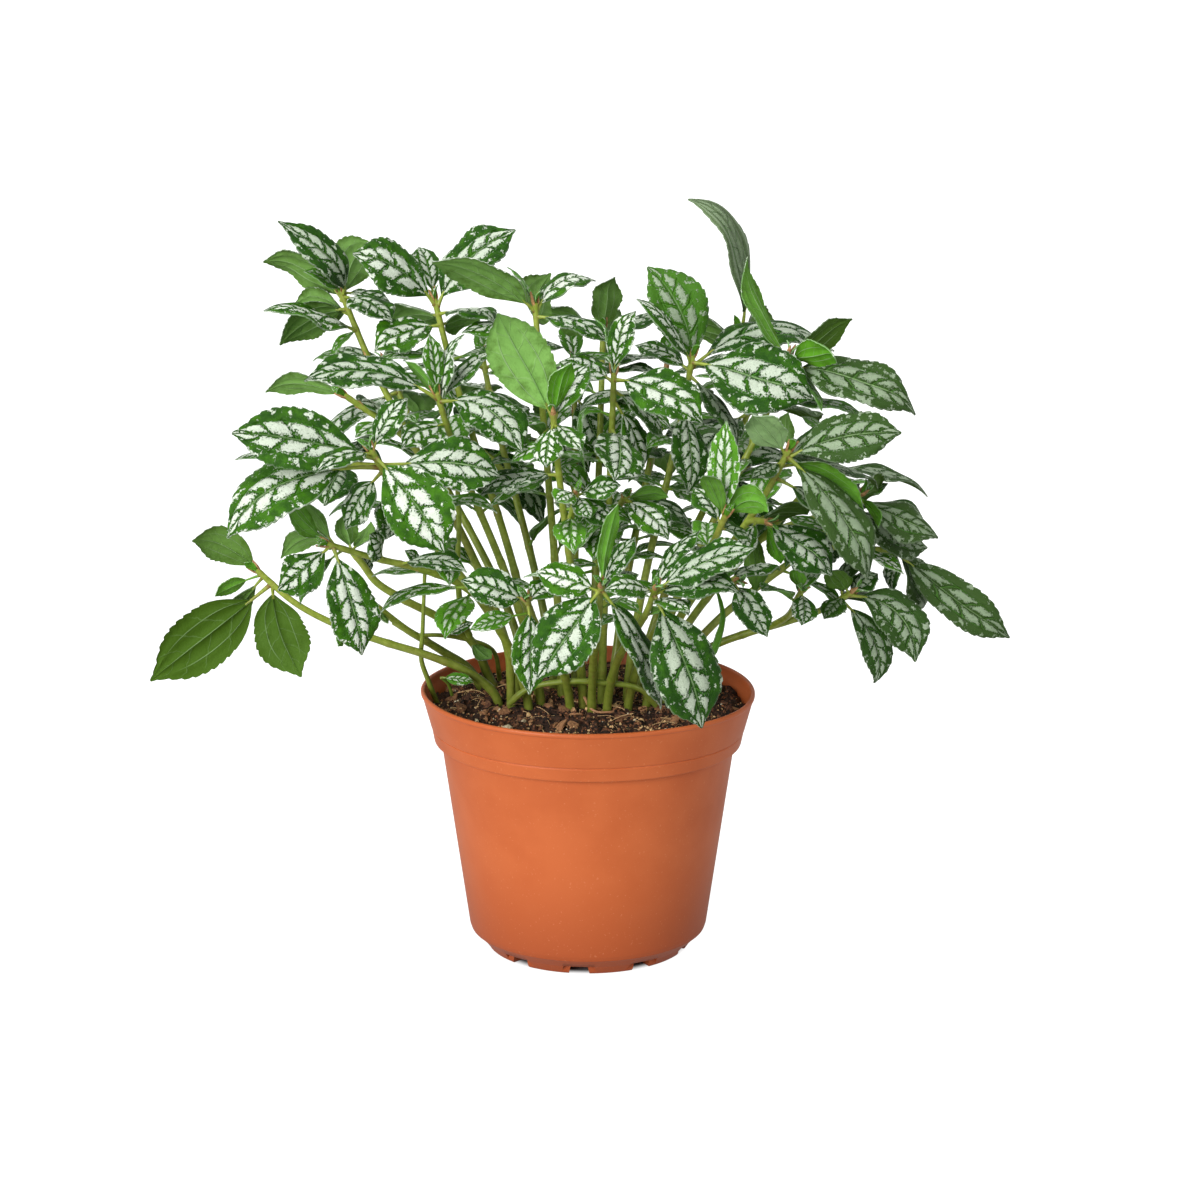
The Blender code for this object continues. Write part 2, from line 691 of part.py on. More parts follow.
class Blade:
    """A leaf's middle line, width and lie."""

    def __init__(self, root, tip, normal, width, neck, bow, plain):
        chord = tip - root
        x_axis, up_axis, _ = look_axes()
        self.root = root
        self.tip = tip
        self.width = width * MM
        self.neck = neck
        self.normal = normal
        bend = x_axis * bow[0] * MM + up_axis * bow[1] * MM
        self.control = root + chord * 0.5 + normal * chord.length * ARCH + bend * 2
        self.plain = plain

    def at(self, share):
        """Point, sideways direction and upper-face direction at a share of the length."""
        rest = 1 - share
        point = self.root * rest**2 + self.control * (2 * rest * share) + self.tip * share**2
        along = (self.control - self.root) * rest + (self.tip - self.control) * share
        along = along.normalized()
        side = along.cross(self.normal).normalized()
        return point, side, side.cross(along).normalized()

    def edge_rows(self):
        """Shares of the length and half-widths in metres, from the root to the last one before the tip."""
        if self.width >= LARGE_WIDTH * MM and not self.plain:
            edge = LARGE_EDGE
        elif self.width >= MEDIUM_WIDTH * MM:
            edge = MEDIUM_EDGE
        else:
            edge = SMALL_EDGE
        rows = [(0.0, PETIOLE_HALF_WIDTH)]
        for share, part in edge:
            rows.append((self.neck + (1 - self.neck) * share, max(part * self.width / 2, PETIOLE_HALF_WIDTH)))
        return rows

    def solid(self, extra=0.0, skip=0):
        """Vertices and triangles of the blade, thickened by extra on each face."""
        half = BLADE_THICKNESS / 2 + extra
        rows = self.edge_rows()[skip:]
        verts, faces = [], []
        for share, reach in rows:
            point, side, up = self.at(share)
            for height in (half, -half):
                verts.append(point - side * reach + up * height)
                verts.append(point + side * reach + up * height)
        point, _, up = self.at(1)
        verts += [point + up * half, point - up * half]
        top_tip, low_tip = len(verts) - 2, len(verts) - 1
        last = len(rows) - 1
        for index in range(last):
            here, there = index * 4, index * 4 + 4
            faces += [(here, here + 1, there + 1), (here, there + 1, there)]
            faces += [(here + 2, there + 3, here + 3), (here + 2, there + 2, there + 3)]
            faces += [(here, there, there + 2), (here, there + 2, here + 2)]
            faces += [(here + 1, here + 3, there + 3), (here + 1, there + 3, there + 1)]
        end = last * 4
        faces += [(end, end + 1, top_tip), (end + 2, low_tip, end + 3)]
        faces += [(end, top_tip, low_tip), (end, low_tip, end + 2)]
        faces += [(end + 1, end + 3, low_tip), (end + 1, low_tip, top_tip)]
        faces += [(0, 2, 3), (0, 3, 1)]
        return verts, faces

    def tree(self, extra=0.0, skip=0):
        return BVHTree.FromPolygons(*self.solid(extra, skip))

    def box(self):
        reach = self.width / 2 + 2 * MM
        spots = [self.at(share / 4)[0] for share in range(5)]
        low = Vector([min(spot[axis] for spot in spots) - reach for axis in range(3)])
        high = Vector([max(spot[axis] for spot in spots) + reach for axis in range(3)])
        return low, high


def boxes_meet(first, second):
    return all(first[0][axis] <= second[1][axis] and second[0][axis] <= first[1][axis] for axis in range(3))


# Small changes tried in turn until a leaf is clear: slide in mm along the line of sight or the
# face's direction, change of length, and change of roll in degrees
TRIES = [
    (slide, length, roll)
    for length in (1.0, 0.93, 0.86, 0.78, 0.7)
    for roll in (0, 12, -12, 24, -24)
    for slide in (0, -5, 5, -10, 10, -15, 15, -21, 21)
]


# Sways of a stem in mm, and turns of its foot about the pot's middle in degrees, tried in turn
STEM_TRIES = [
    (sway, turn)
    for turn in (0, 9, -9, 18, -18, 27, -27)
    for sway in (0, 4, -4, 8, -8, 12, -12)
]


class Placed:
    """Everything that already stands, for testing the next leaf against."""

    def __init__(self):
        self.stems = []
        self.blades = []

    def add_stem(self, plant, points, radii):
        low = Vector([min(point[axis] for point in points) - 3 * MM for axis in range(3)])
        high = Vector([max(point[axis] for point in points) + 3 * MM for axis in range(3)])
        self.stems.append((plant, (low, high), tube_tree(points, radii)))

    def clear(self, plant, blade, floor):
        box = blade.box()
        lowest = min(blade.at(share / 6)[0].z for share in range(2, 7))
        if lowest < floor:
            return False
        whole = blade.tree(BLADE_GAP)
        outer = blade.tree(BLADE_GAP, 1)
        spread = blade.tree(BLADE_GAP, 2)
        for owner, other_box, tree in self.stems:
            if not boxes_meet(box, other_box):
                continue
            if owner != plant and whole.overlap(tree):
                return False
            if owner == plant and spread.overlap(tree):
                return False
        for owner, other_box, tree, outer_tree in self.blades:
            if not boxes_meet(box, other_box):
                continue
            if owner != plant and whole.overlap(tree):
                return False
            if owner == plant and outer.overlap(outer_tree):
                return False
        return True

    def add_blade(self, plant, blade):
        self.blades.append((plant, blade.box(), blade.tree(BLADE_GAP), blade.tree(BLADE_GAP, 1)))


def settle(placed, plant, root, tip, normal, slide_way, width, neck, bow, plain):
    """Bends a leaf until it is clear of everything that stands, and gives None if it can't be."""
    for slide, length, roll in TRIES:
        end = root + (tip + slide_way * slide * MM - root) * length
        along = (end - root).normalized()
        start = root + along * ROOT_OFFSET
        across = along.cross(normal).normalized()
        upper = across.cross(along).normalized()
        angle = math.radians(roll)
        upper = upper * math.cos(angle) + across * math.sin(angle)
        blade = Blade(start, end, upper, width * (0.5 + 0.5 * length), neck, bow, plain)
        floor = POT_HEIGHT + 1.5 * MM
        if placed.clear(plant, blade, floor):
            placed.add_blade(plant, blade)
            return blade
    return None


def front_leaf(placed, plant, path, top, one):
    """A leaf that the front view shows."""
    root = point_down(path, one["down"] * MM)
    tip = seen(*(start + change for start, change in zip(top, one["tip"])))
    forward = look_axes()[2]
    normal = facing_normal((tip - root).normalized(), one["show"])
    plain = one["tip"][2] >= HIDDEN_DEPTH
    return settle(placed, plant, root, tip, normal, forward, one["width"], one["neck"], one["bow"], plain)


def back_leaves(placed, plant, path, draw):
    """Crossed pairs of leaves down a shoot that the front view hides."""
    blades = []
    turn = draw.uniform(0, math.pi)
    axis = (path[-1] - path[-2]).normalized()
    for count, down, length, width, rise in BACK_LEAVES:
        for side in range(count):
            angle = turn + side * math.pi + draw.uniform(-0.3, 0.3)
            tilt = math.radians(rise + draw.uniform(-8, 8))
            size = draw.uniform(0.86, 1.08)
            out = Vector((math.cos(angle), math.sin(angle), 0)) + Vector((axis.x, axis.y, 0)) * 0.4
            out.normalize()
            way = out * math.cos(tilt) + Vector((0, 0, math.sin(tilt)))
            root = point_down(path, down * MM)
            tip = root + way * length * size * MM
            upper = Vector((0, 0, 1)) + out * 0.35
            upper = (upper - way * upper.dot(way)).normalized()
            blades.append(settle(placed, plant, root, tip, upper, upper, width * size, 0.13, (0, 0), True))
        turn += math.pi / 2
    return blades


def plan_plants():
    """Every stem's path and every leaf's place, worked out before anything is built."""
    everything = {name: list(shoots) for name, shoots in PLANTS.items()}
    for name, (first, second) in BACK_SHOOTS.items():
        everything[name] = [shoot(*first, None), shoot(*second, None, fork=BACK_FORK)]
    standing = []
    plans = {}
    for name, shoots in everything.items():
        main = None
        stems = []
        for one in shoots:
            top = seen(*one["top"])
            for sway, turn in STEM_TRIES:
                if one["fork"] is None:
                    path = main_path(top, sway, turn, one["bend"])
                    radii = [STEM_RADIUS_LOW] + thicken(path[1:], STEM_RADIUS_LOW, STEM_RADIUS_TOP)
                else:
                    path = fork_path(main, top, one["fork"] + sway * 0.012)
                    radii = thicken(path, SHOOT_RADIUS_LOW, STEM_RADIUS_TOP)
                rows = dense(path, radii)
                if not stems_clash(rows, standing):
                    break
            else:
                print("stem not clear", name, one["top"])
            main = main or path
            stems.append((path, radii, one, rows))
        standing += [search_tree(rows) for _, _, _, rows in stems]
        plans[name] = stems
    placed = Placed()
    for name, stems in plans.items():
        for path, radii, _, _ in stems:
            placed.add_stem(name, path, radii)
    draw = random.Random(BACK_SEED)
    blades = {name: [] for name in plans}
    for name, stems in plans.items():
        for path, _, one, _ in stems:
            if one["leaves"] is None:
                found = back_leaves(placed, name, path, draw)
            else:
                found = [front_leaf(placed, name, path, one["top"], row) for row in one["leaves"]]
            for index, blade in enumerate(found):
                if blade is None:
                    print("leaf left out", name, one["top"], index)
            blades[name] += [blade for blade in found if blade is not None]
    return plans, blades


def make_plant(name, stems, blades, collection):
    """One stem with its side shoots and leaves, joined as one body."""
    path, radii = stems[0][0], stems[0][1]
    body = tube(name, path, radii, collection)
    joined = new_collection(name + " pieces")
    for path, radii, _, _ in stems[1:]:
        tube("side shoot", path, radii, joined, 0)
    for blade in blades:
        verts, faces = blade.solid()
        mesh_object("leaf", verts, faces, joined)
    return boolean(body, "UNION", joined)


def main():
    clear_scene()
    collection = new_collection("potted aluminum plant")
    plastic = material("terracotta plastic", (0.66, 0.17, 0.055), 0.5)
    peat = material("potting soil", (0.035, 0.018, 0.011), 0.95)
    green = material("leaf green", (0.035, 0.15, 0.035), 0.5)

    plans, blades = plan_plants()
    pot = make_pot(collection)
    pot.data.materials.append(plastic)
    feet = [stems[0][0][0] for stems in plans.values()]
    soil = make_soil(feet, collection)
    soil.data.materials.append(peat)
    for turned_piece in (pot, soil):
        turned_piece.data.shade_smooth()
        turned_piece.data.set_sharp_from_angle(angle=math.radians(35))
    for name, stems in plans.items():
        plant = make_plant(name, stems, blades[name], collection)
        plant.data.materials.append(green)


main()
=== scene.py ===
"""The looks of a potted aluminum plant, laid out as a Blender add-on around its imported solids.

Metres, +Z up, with the origin on the floor under the middle of the pot. Every stem and leaf of the solids is
placed here by the same table and rules, and is then grown in full: toothed and quilted blades, petioles,
ringed stems and scales. Thin side shoots and small inner leaves, which the solids leave out, are added.
"""

import math
import random

import bpy
import numpy as np
from bpy.props import FloatProperty, FloatVectorProperty, IntProperty, PointerProperty
from mathutils import Euler, Matrix, Quaternion, Vector, noise
from mathutils.bvhtree import BVHTree
from mathutils.kdtree import KDTree


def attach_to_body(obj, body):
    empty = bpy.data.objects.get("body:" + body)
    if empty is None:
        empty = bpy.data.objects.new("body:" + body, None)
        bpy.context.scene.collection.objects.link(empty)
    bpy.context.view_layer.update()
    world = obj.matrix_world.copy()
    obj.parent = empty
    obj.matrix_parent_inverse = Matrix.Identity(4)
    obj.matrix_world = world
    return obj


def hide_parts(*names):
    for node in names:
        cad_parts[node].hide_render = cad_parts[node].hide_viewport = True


bl_info = {
    "name": "Potted aluminum plant",
    "version": (1, 0, 0),
    "blender": (4, 5, 0),
    "location": "3D View > Sidebar > Plant",
    "description": "A nursery pot of soil with leafy stems whose leaves are patched with silver",
    "category": "Add Mesh",
}

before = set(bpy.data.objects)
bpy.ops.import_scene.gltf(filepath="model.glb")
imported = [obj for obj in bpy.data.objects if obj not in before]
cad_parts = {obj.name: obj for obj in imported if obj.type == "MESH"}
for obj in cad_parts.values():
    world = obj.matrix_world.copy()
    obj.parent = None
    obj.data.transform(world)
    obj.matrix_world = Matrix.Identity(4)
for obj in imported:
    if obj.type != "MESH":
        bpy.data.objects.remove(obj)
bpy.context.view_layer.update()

MM = 0.001

# Pot and soil, as in the solids
POT_HEIGHT = 120 * MM
WALL = 1.4 * MM
# Bends of the pot's outside from its lip down to its foot: radius and height in mm
POT_OUTSIDE = (
    (75.9, 120.1), (76.25, 119.5), (76.2, 118.5), (75.6, 118.0), (71.6, 103.2), (70.95, 102.9),
    (71.3, 102.5), (70.2, 97.2), (69.9, 96.9), (67.3, 96.7), (67.0, 96.2), (54.7, 10.5), (54.0, 8.4),
    (53.2, 8.0), (49.4, 4.2), (46.6, 0.4),
)
# Bends of the lip, with their height above POT_HEIGHT, and of the inner wall
POT_LIP = ((75.3, 0.35), (74.6, 0.15), (74.25, -0.6))
POT_INSIDE = (
    (73.9, 117.0), (70.5, 104.5), (69.0, 98.6), (68.7, 98.3), (65.8, 98.2), (65.5, 96.0), (53.3, 10.5),
)
BEND_ROUND = 0.35 * MM
# How much of a side a bend's round may take, and how far out its holding points lie
BEND_SHARE = 0.28
BEND_HOLD = 1.6
# The soft rim stands up a little at the front and the left
RIM_LIFT = 2.0 * MM
RIM_LIFT_FROM = 80 * MM
RIM_LIFT_SPAN = 25 * MM
RIM_LIFT_WAY = (-0.45, -0.8)
FLOOR_Z = 3.6 * MM
FLOOR_THICKNESS = 1.6 * MM
FOOT_OUTER = 46.2 * MM
FOOT_INNER = 37 * MM
FOOT_COUNT = 10
NOTCH_WIDTH = 11 * MM
NOTCH_HEIGHT = 3.4 * MM
RECESS_WIDTH = 19 * MM
RECESS_HEIGHT = 4.6 * MM
RECESS_DEPTH = 0.8 * MM
WEDGE_TAPER = 0.72
NOTCH_PHASE = math.radians(-95)
DRAIN_HOLES = 5
DRAIN_RADIUS = 4.5 * MM
DRAIN_CIRCLE = 25 * MM
SOIL_EDGE_Z = 112.5 * MM
SOIL_TOP_Z = 115.5 * MM
HOLE_DEPTH = 14 * MM
# Sizes of the unevenness in the soil's top
HOLLOW_SIZE = 16 * MM
CLOD_SIZE = 5 * MM
GRAIN_SIZE = 1.9 * MM
# Half the thickness of a coir thread, as a share of half its length
FIBRE_RADIUS = 0.035


# Viewer that the layout is read from
VIEW_TILT = math.radians(16.4)
VIEW_DISTANCE = 1800 * MM
RIGHT = Vector((1, 0, 0))
UP = Vector((0, math.sin(VIEW_TILT), math.cos(VIEW_TILT)))
AHEAD = Vector((0, math.cos(VIEW_TILT), -math.sin(VIEW_TILT)))

# Stems
FOOT_NEAR = 7 * MM
FOOT_FAR = 50 * MM
REACH_FAR = 185 * MM
# The front of the soil is bare, so the stems at the front stand nearer the middle
FRONT_FOOT_SHARE = 0.6
STEM_RADIUS_LOW = 2.1 * MM
STEM_RADIUS_TOP = 1.3 * MM
SHOOT_RADIUS_LOW = 1.6 * MM
STEM_POINTS = 6
STEM_CLEARANCE = 2.2 * MM
# How far a curve follows its headings, as a share of its length, and how much its ends lean and lift
CURVE_PULL = 0.34
FOOT_LEAN = 0.6
TOP_LIFT = 0.25
FORK_LEAN = 0.7
FORK_SHIFT = 0.012
FOOT_RISE = 1.5 * MM
TEST_SIDES = 6

# Leaves
BLADE_THICKNESS = 0.7 * MM
BLADE_GAP = 0.35 * MM
PETIOLE_HALF_WIDTH = 0.85 * MM
ROOT_OFFSET = 0.4 * MM
ARCH = 0.13
# No leaf hangs below this height
LEAF_FLOOR = POT_HEIGHT + 1.5 * MM

# Half-widths along the blade, from its base to its tip, with the notches between the teeth
LARGE_EDGE = ((0.0, 0.10), (0.2, 0.74), (0.46, 1.0), (0.68, 0.90), (0.72, 0.76))
MEDIUM_EDGE = ((0.0, 0.12), (0.32, 0.92), (0.62, 0.97), (0.67, 0.83))
SMALL_EDGE = ((0.0, 0.15), (0.48, 1.0))
HIDDEN_DEPTH = 20
LARGE_WIDTH = 20
MEDIUM_WIDTH = 12


def leaf(right, up, away, width, show, down=3, bow=(0, 0), neck=0.12):
    """One leaf: its tip from the shoot's top as the viewer sees it, in mm, and how it lies.

    show is the share of the upper face that the viewer sees, and is negative for the underside.
    down is how far below the shoot's top the leaf grows, and bow bends it right and up.
    """
    return {"tip": (right, up, away), "width": width, "show": show, "down": down, "bow": bow, "neck": neck}


def shoot(right, up, depth, rows, fork=None, bend=(0, 0)):
    """One leafy shoot: where its top is seen, its real depth behind the pot's middle, and its leaves.

    rows are the values of its leaves, or None for a shoot at the back. fork is how far up the main stem a
    side shoot leaves it, and bend moves a stem's middle right and up.
    """
    leaves = None if rows is None else [leaf(*row) for row in rows]
    return {"top": (right, up, depth), "leaves": leaves, "fork": fork, "bend": bend}


# Leafy stems by name, each with its main shoot and the one that forks from it
PLANTS = {
    "front_middle": [shoot(6, 48, -104, (
        (-28, -44, -8, 28, 0.95, 3, (0, 0), 0.1), (29, -57, 10, 20, 0.65), (-30, 6, 6, 18, 0.85, 6),
        (17, 7, 12, 16, 0.6, 6), (9, 38, 0, 9, -0.7, 1), (16, 22, 14, 16, 0.5, 5),
    ))],
    "front_right": [shoot(31, 47, -102, (
        (23, -64, -6, 33, 0.95, 5), (45, 19, -4, 22, 0.78), (39, 3, -24, 22, 0.65, 6),
        (19, 27, 16, 16, 0.6, 4), (-22, 1, -6, 14, 0.7, 4), (15, -11, -16, 14, 0.4, 10),
    ))],
    "front_left": [shoot(-28, 42, -90, (
        (1, -44, -14, 18, 0.9, 4), (-30, 8, -2, 20, 0.85), (12, 8, 8, 15, 0.8, 3),
        (-26, -14, 0, 9, 0.9, 12, (0, 0), 0.3), (-22, 13, 14, 14, 0.4, 8),
    ))],
    "left_front": [shoot(-99, 110, -75, (
        (34, -47, -12, 30, 1.0, 4, (1, 2)), (-64, 8, -6, 30, 0.9, 5),
        (-69, -37, -14, 31, 0.88, 10, (-3, 5), 0.22), (61, -9, 8, 26, 0.9, 9, (0, 0), 0.2),
        (15, 25, 4, 15, 0.9, 1), (-25, -8, -16, 15, 0.7, 2), (-12, -36, 0, 22, 0.7, 12, (0, 0), 0.2),
        (9, -42, 10, 20, 0.6, 16, (0, 0), 0.25),
    ))],
    "left_low": [shoot(-119, 67, -70, (
        (17, -51, -8, 24, 0.95), (-23, -20, -6, 21, 0.85, 2, (1, -2)), (-19, 24, 6, 14, -0.6, 4),
        (-15, -27, 2, 9, 0.6, 9, (0, 0), 0.2), (-23, -5, 8, 13, -0.7, 5, (0, 5)), (63, -10, -6, 14, 0.6, 40),
        (20, 4, 8, 18, 0.5, 30),
    ), bend=(16, 13))],
    "far_left": [shoot(-151, 55, -10, (
        (-49, -50, -6, 28, -0.95, 9, (1, -1), 0.18), (20, -49, -4, 26, -0.95, 9, (-4, 0)),
        (-30, 14, 0, 18, -0.85, 2, (1, 3)), (-23, -45, 10, 14, -0.7, 4),
        (-20, -12, -8, 8, -0.8, 3, (0, 0), 0.3), (37, -35, -4, 7, -0.5, 50),
    ), bend=(-2, -8))],
    "right_front": [shoot(92, 110, -45, (
        (51, 5, -4, 25, 0.92, 6, (0, 4)), (41, -58, -12, 27, 0.72, 3), (-17, 16, -8, 20, -0.8, 3),
        (35, -26, 8, 18, -0.7, 5), (45, -15, 18, 18, 0.5, 9), (-17, -13, -8, 14, 0.6, 7),
        (31, -41, -18, 24, 0.6, 15, (0, 0), 0.2), (28, 14, 12, 18, 0.5, 7),
    )), shoot(82, 77, -42, (
        (30, -24, -14, 26, 0.8, 2), (7, -19, -8, 12, -0.7, 1), (-11, -17, -4, 14, 0.6, 6),
        (-4, -33, 6, 13, -0.8, 14), (20, 4, 34, 24, -0.3, 6),
    ), fork=0.72)],
    "middle_front_right": [shoot(63, 80, -75, (
        (21, 2, -8, 15, -0.85, 3, (0, 6)), (2, 43, 2, 16, 0.9, 2), (-11, 20, -4, 10, -0.8, 2),
        (-14, 13, 12, 16, 0.7, 6), (12, -11, 10, 14, 0.5, 8),
    )), shoot(68, 50, -76, (
        (13, -26, -10, 17, 0.9), (-15, -40, -10, 8, -0.3, 18, (10, 2)), (20, 8, 22, 18, 0.4, 6),
    ), fork=0.62)],
    "middle_front": [shoot(-16, 127, -55, (
        (-28, 47, -4, 28, -0.95, 3, (0, 0), 0.08), (17, 23, 14, 18, 0.6, 5), (8, 23, 2, 13, -0.8, 2),
        (-3, -25, -8, 16, 0.8, 5), (12, -18, -10, 13, 0.8, 6), (-20, -21, 0, 10, 0.7, 16),
        (-34, -36, 6, 22, 0.42, 31),
    )), shoot(-5, 91, -62, (
        (-10, -4, -11, 12, 0.8, 2), (6, -12, -12, 13, 0.85, 3), (20, 3, -2, 13, 0.8, 4),
        (16, -15, -10, 15, 0.85, 6),
    ), fork=0.55)],
    "middle": [shoot(12, 145, -20, (
        (41, -21, -22, 28, 0.8, 3, (0, 2)), (7, 30, 4, 14, 0.85, 1), (-25, 6, 12, 22, 0.6, 4),
        (14, -45, 4, 20, 0.6, 12, (0, 0), 0.2), (23, -28, 10, 18, 0.5, 8), (-6, 27, 16, 8, 0.5, 4),
        (3, -51, -28, 24, 0.85, 26), (-13, -45, -6, 9, 0.35, 20, (-6, 12)),
    )), shoot(17, 89, -45, (
        (21, -19, -12, 19, 0.8), (20, 1, 10, 10, -0.6, 3), (34, -13, 4, 20, 0.6, 6),
    ), fork=0.5)],
    "middle_left": [shoot(-69, 136, -35, (
        (-61, 7, -10, 28, 0.66, 3, (0, 4), 0.15), (38, -27, -22, 26, 0.85, 4, (4, 5)),
        (-4, 27, 0, 11, 0.9, 1), (26, 20, 14, 18, 0.6, 4), (-14, 15, 10, 9, -0.5, 4),
        (-17, -24, -10, 20, 0.8, 15), (9, 28, 8, 15, 0.5, 9),
    ))],
    "middle_right": [shoot(48, 153, 0, (
        (-20, 42, 6, 28, 0.95, 4, (4, 0), 0.08), (54, -20, -18, 37, 0.88), (64, 4, 34, 28, 0.55, 6, (-1, 8)),
        (-24, 24, -8, 14, 0.5, 4), (21, -40, -18, 20, 0.35, 9), (-1, -62, -26, 20, 0.85, 24),
        (-32, -27, -4, 16, 0.4, 22), (-26, 6, 12, 18, 0.5, 7),
    ))],
    "right_upper": [shoot(92, 153, -2, (
        (61, -22, -12, 28, 0.8, 5), (-24, 43, -2, 20, -0.25, 3, (-3, -2)), (27, 19, 12, 19, -0.6, 5, (1, -2)),
        (22, -1, -6, 17, -0.7, 2), (16, -25, -12, 8, 0.4, 4),
    )), shoot(70, 164, 32, (
        (-20, 64, -8, 24, 0.25, 2, (5, 5)), (14, 2, 40, 24, -0.6, 4), (-28, 2, 30, 24, -0.4, 7),
    ), fork=0.75)],
    "upper_left": [shoot(-113, 183, 38, (
        (-29, 31, -10, 20, 0.75, 3, (8, -2)), (23, -13, -20, 22, 0.55, 3), (-35, 16, 12, 24, -0.6, 6, (1, 2)),
        (14, 21, 20, 22, -0.8, 5, (-2, 4)), (-15, 9, 0, 9, 0.7, 1), (-22, -6, 16, 20, -0.7, 12),
        (-27, -26, 8, 23, -0.7, 9, (0, 3)), (-32, -6, -16, 22, 0.32, 20, (0, -2)), (-4, -30, -8, 9, 0.5, 19),
    )), shoot(-111, 135, 18, (
        (-37, 4, 8, 14, -0.5, 3, (0, 2)), (20, -9, 24, 22, 0.4, 5),
    ), fork=0.6)],
    "upper_middle_left": [shoot(-70, 179, 22, (
        (-37, 20, -14, 28, 0.88, 3, (0, 4)), (37, 32, 6, 29, 0.8, 4, (-3, 1)), (29, -8, -20, 24, 0.32, 7),
        (-28, -22, -12, 26, 0.65, 12), (20, -9, 14, 18, -0.5, 12), (-18, -10, 34, 22, -0.4, 8),
    ))],
    "upper_middle": [shoot(-24, 177, 10, (
        (-48, 20, -24, 21, -0.55, 4, (3, 0)), (28, 11, 14, 20, 0.6, 4, (-2, 4)), (34, -16, -16, 22, 0.35, 6),
        (-12, 17, 10, 8, 0.3, 1), (-34, -12, -8, 20, 0.5, 14), (-14, -23, 4, 18, 0.5, 15),
        (4, 12, 40, 22, -0.6, 9),
    ))],
    "upper_back": [shoot(7, 165, 58, (
        (4, 25, 4, 18, -0.8, 2), (-30, 10, 14, 22, -0.4, 4), (30, 6, 18, 22, 0.3, 4),
        (10, 2, 34, 24, -0.5, 9),
    ))],
    "right_middle": [shoot(125, 90, -4, (
        (36, -20, -6, 24, 0.75, 3, (-1, -2)), (31, -25, 10, 22, 0.7, 7, (-2, -4)), (9, -16, -8, 7, -0.6, 2),
        (8, 2, 38, 24, -0.4, 8),
    )), shoot(145, 64, 8, (
        (49, -42, -6, 21, 0.95, 6, (-1, -2)), (13, -26, -8, 22, 0.65), (8, -28, 2, 9, 0.7, 4),
        (-6, -2, 38, 22, -0.4, 8),
    ), fork=0.7)],
    "right_low": [shoot(121, 45, -18, (
        (30, -32, -10, 25, 0.9, 3, (5, 6)), (12, -43, -6, 16, 0.9, 7, (5, 0)), (-11, 11, -4, 14, -0.8, 2),
        (11, 9, 6, 18, 0.6, 3), (-2, 15, 16, 16, 0.5, 6), (-13, -12, -8, 13, 0.7, 4),
        (18, -4, 38, 24, 0.3, 9),
    )), shoot(98, 46, -48, (
        (1, -16, -10, 13, 0.9), (-4, 10, 0, 9, -0.8, 2),
    ), fork=0.6)],
}

# Shoots behind the ones that the front view shows: right, up and depth of each top.
# Every second one forks from the stem before it.
BACK_SHOOTS = {
    "back_far_left": ((-92, 150, 72), (-126, 106, 52)),
    "back_left": ((-48, 152, 62), (-64, 122, 83)),
    "back_middle": ((-6, 150, 76), (-24, 122, 87)),
    "back_middle_right": ((36, 148, 66), (32, 116, 85)),
    "back_right": ((78, 140, 68), (74, 104, 81)),
    "back_far_right": ((114, 112, 58), (122, 84, 38)),
}
BACK_SEED = 7
BACK_FORK = 0.6
# Leaves down a back shoot: their number, how far below its top, length, width and rise in degrees
BACK_LEAVES = ((1, 1, 24, 11, 40), (2, 5, 42, 21, 14), (2, 15, 50, 25, -16))


def seen(right, up, depth):
    """The point at a real depth (world Y) that the viewer sees right and up of the rim's middle, in mm."""
    right, up, depth = right * MM, up * MM, depth * MM
    along = (depth - up * UP.y) / (AHEAD.y + up * UP.y / VIEW_DISTANCE)
    scale = 1 + along / VIEW_DISTANCE
    return Vector((0, 0, POT_HEIGHT)) + (RIGHT * right + UP * up) * scale + AHEAD * along


def cubic(start, leave, arrive, end, share):
    """The point at a share of a curve that is drawn by its ends and two handles."""
    rest = 1 - share
    return start * rest**3 + leave * (3 * rest**2 * share) + arrive * (3 * rest * share**2) + end * share**3


def spread_curve(start, heading, end, end_heading, count):
    """Points on a smooth curve between two places, with its headings at both ends."""
    reach = (end - start).length
    leave = start + heading * reach * CURVE_PULL
    arrive = end - end_heading * reach * CURVE_PULL
    return [cubic(start, leave, arrive, end, step / count) for step in range(count + 1)]


def stem_foot(top, turn):
    """Where a stem comes out of the soil: on the same side as its top, and nearer the middle."""
    reach = math.hypot(top.x, top.y)
    ring = FOOT_NEAR + (FOOT_FAR - FOOT_NEAR) * min(reach / REACH_FAR, 1)
    angle = math.atan2(top.y, top.x) + math.radians(turn)
    foot_x, foot_y = ring * math.cos(angle), ring * math.sin(angle)
    if foot_y < 0:
        foot_y *= FRONT_FOOT_SHARE
    return Vector((foot_x, foot_y, SOIL_TOP_Z + FOOT_RISE))


def main_path(top, sway, turn, bend):
    """A stem's path from the bottom of its hole to its top, with its foot turned aside by degrees."""
    foot = stem_foot(top, turn)
    outward = (top - foot).normalized()
    side = outward.cross(Vector((0, 0, 1))).normalized()
    points = spread_curve(
        foot, (Vector((0, 0, 1)) + outward * FOOT_LEAN).normalized(), top,
        (outward + Vector((0, 0, TOP_LIFT))).normalized(), STEM_POINTS
    )
    shift = side * sway * MM + RIGHT * bend[0] * MM + UP * bend[1] * MM
    points = [point + shift * math.sin(math.pi * index / STEM_POINTS) for index, point in enumerate(points)]
    return [Vector((foot.x, foot.y, SOIL_EDGE_Z - HOLE_DEPTH))] + points


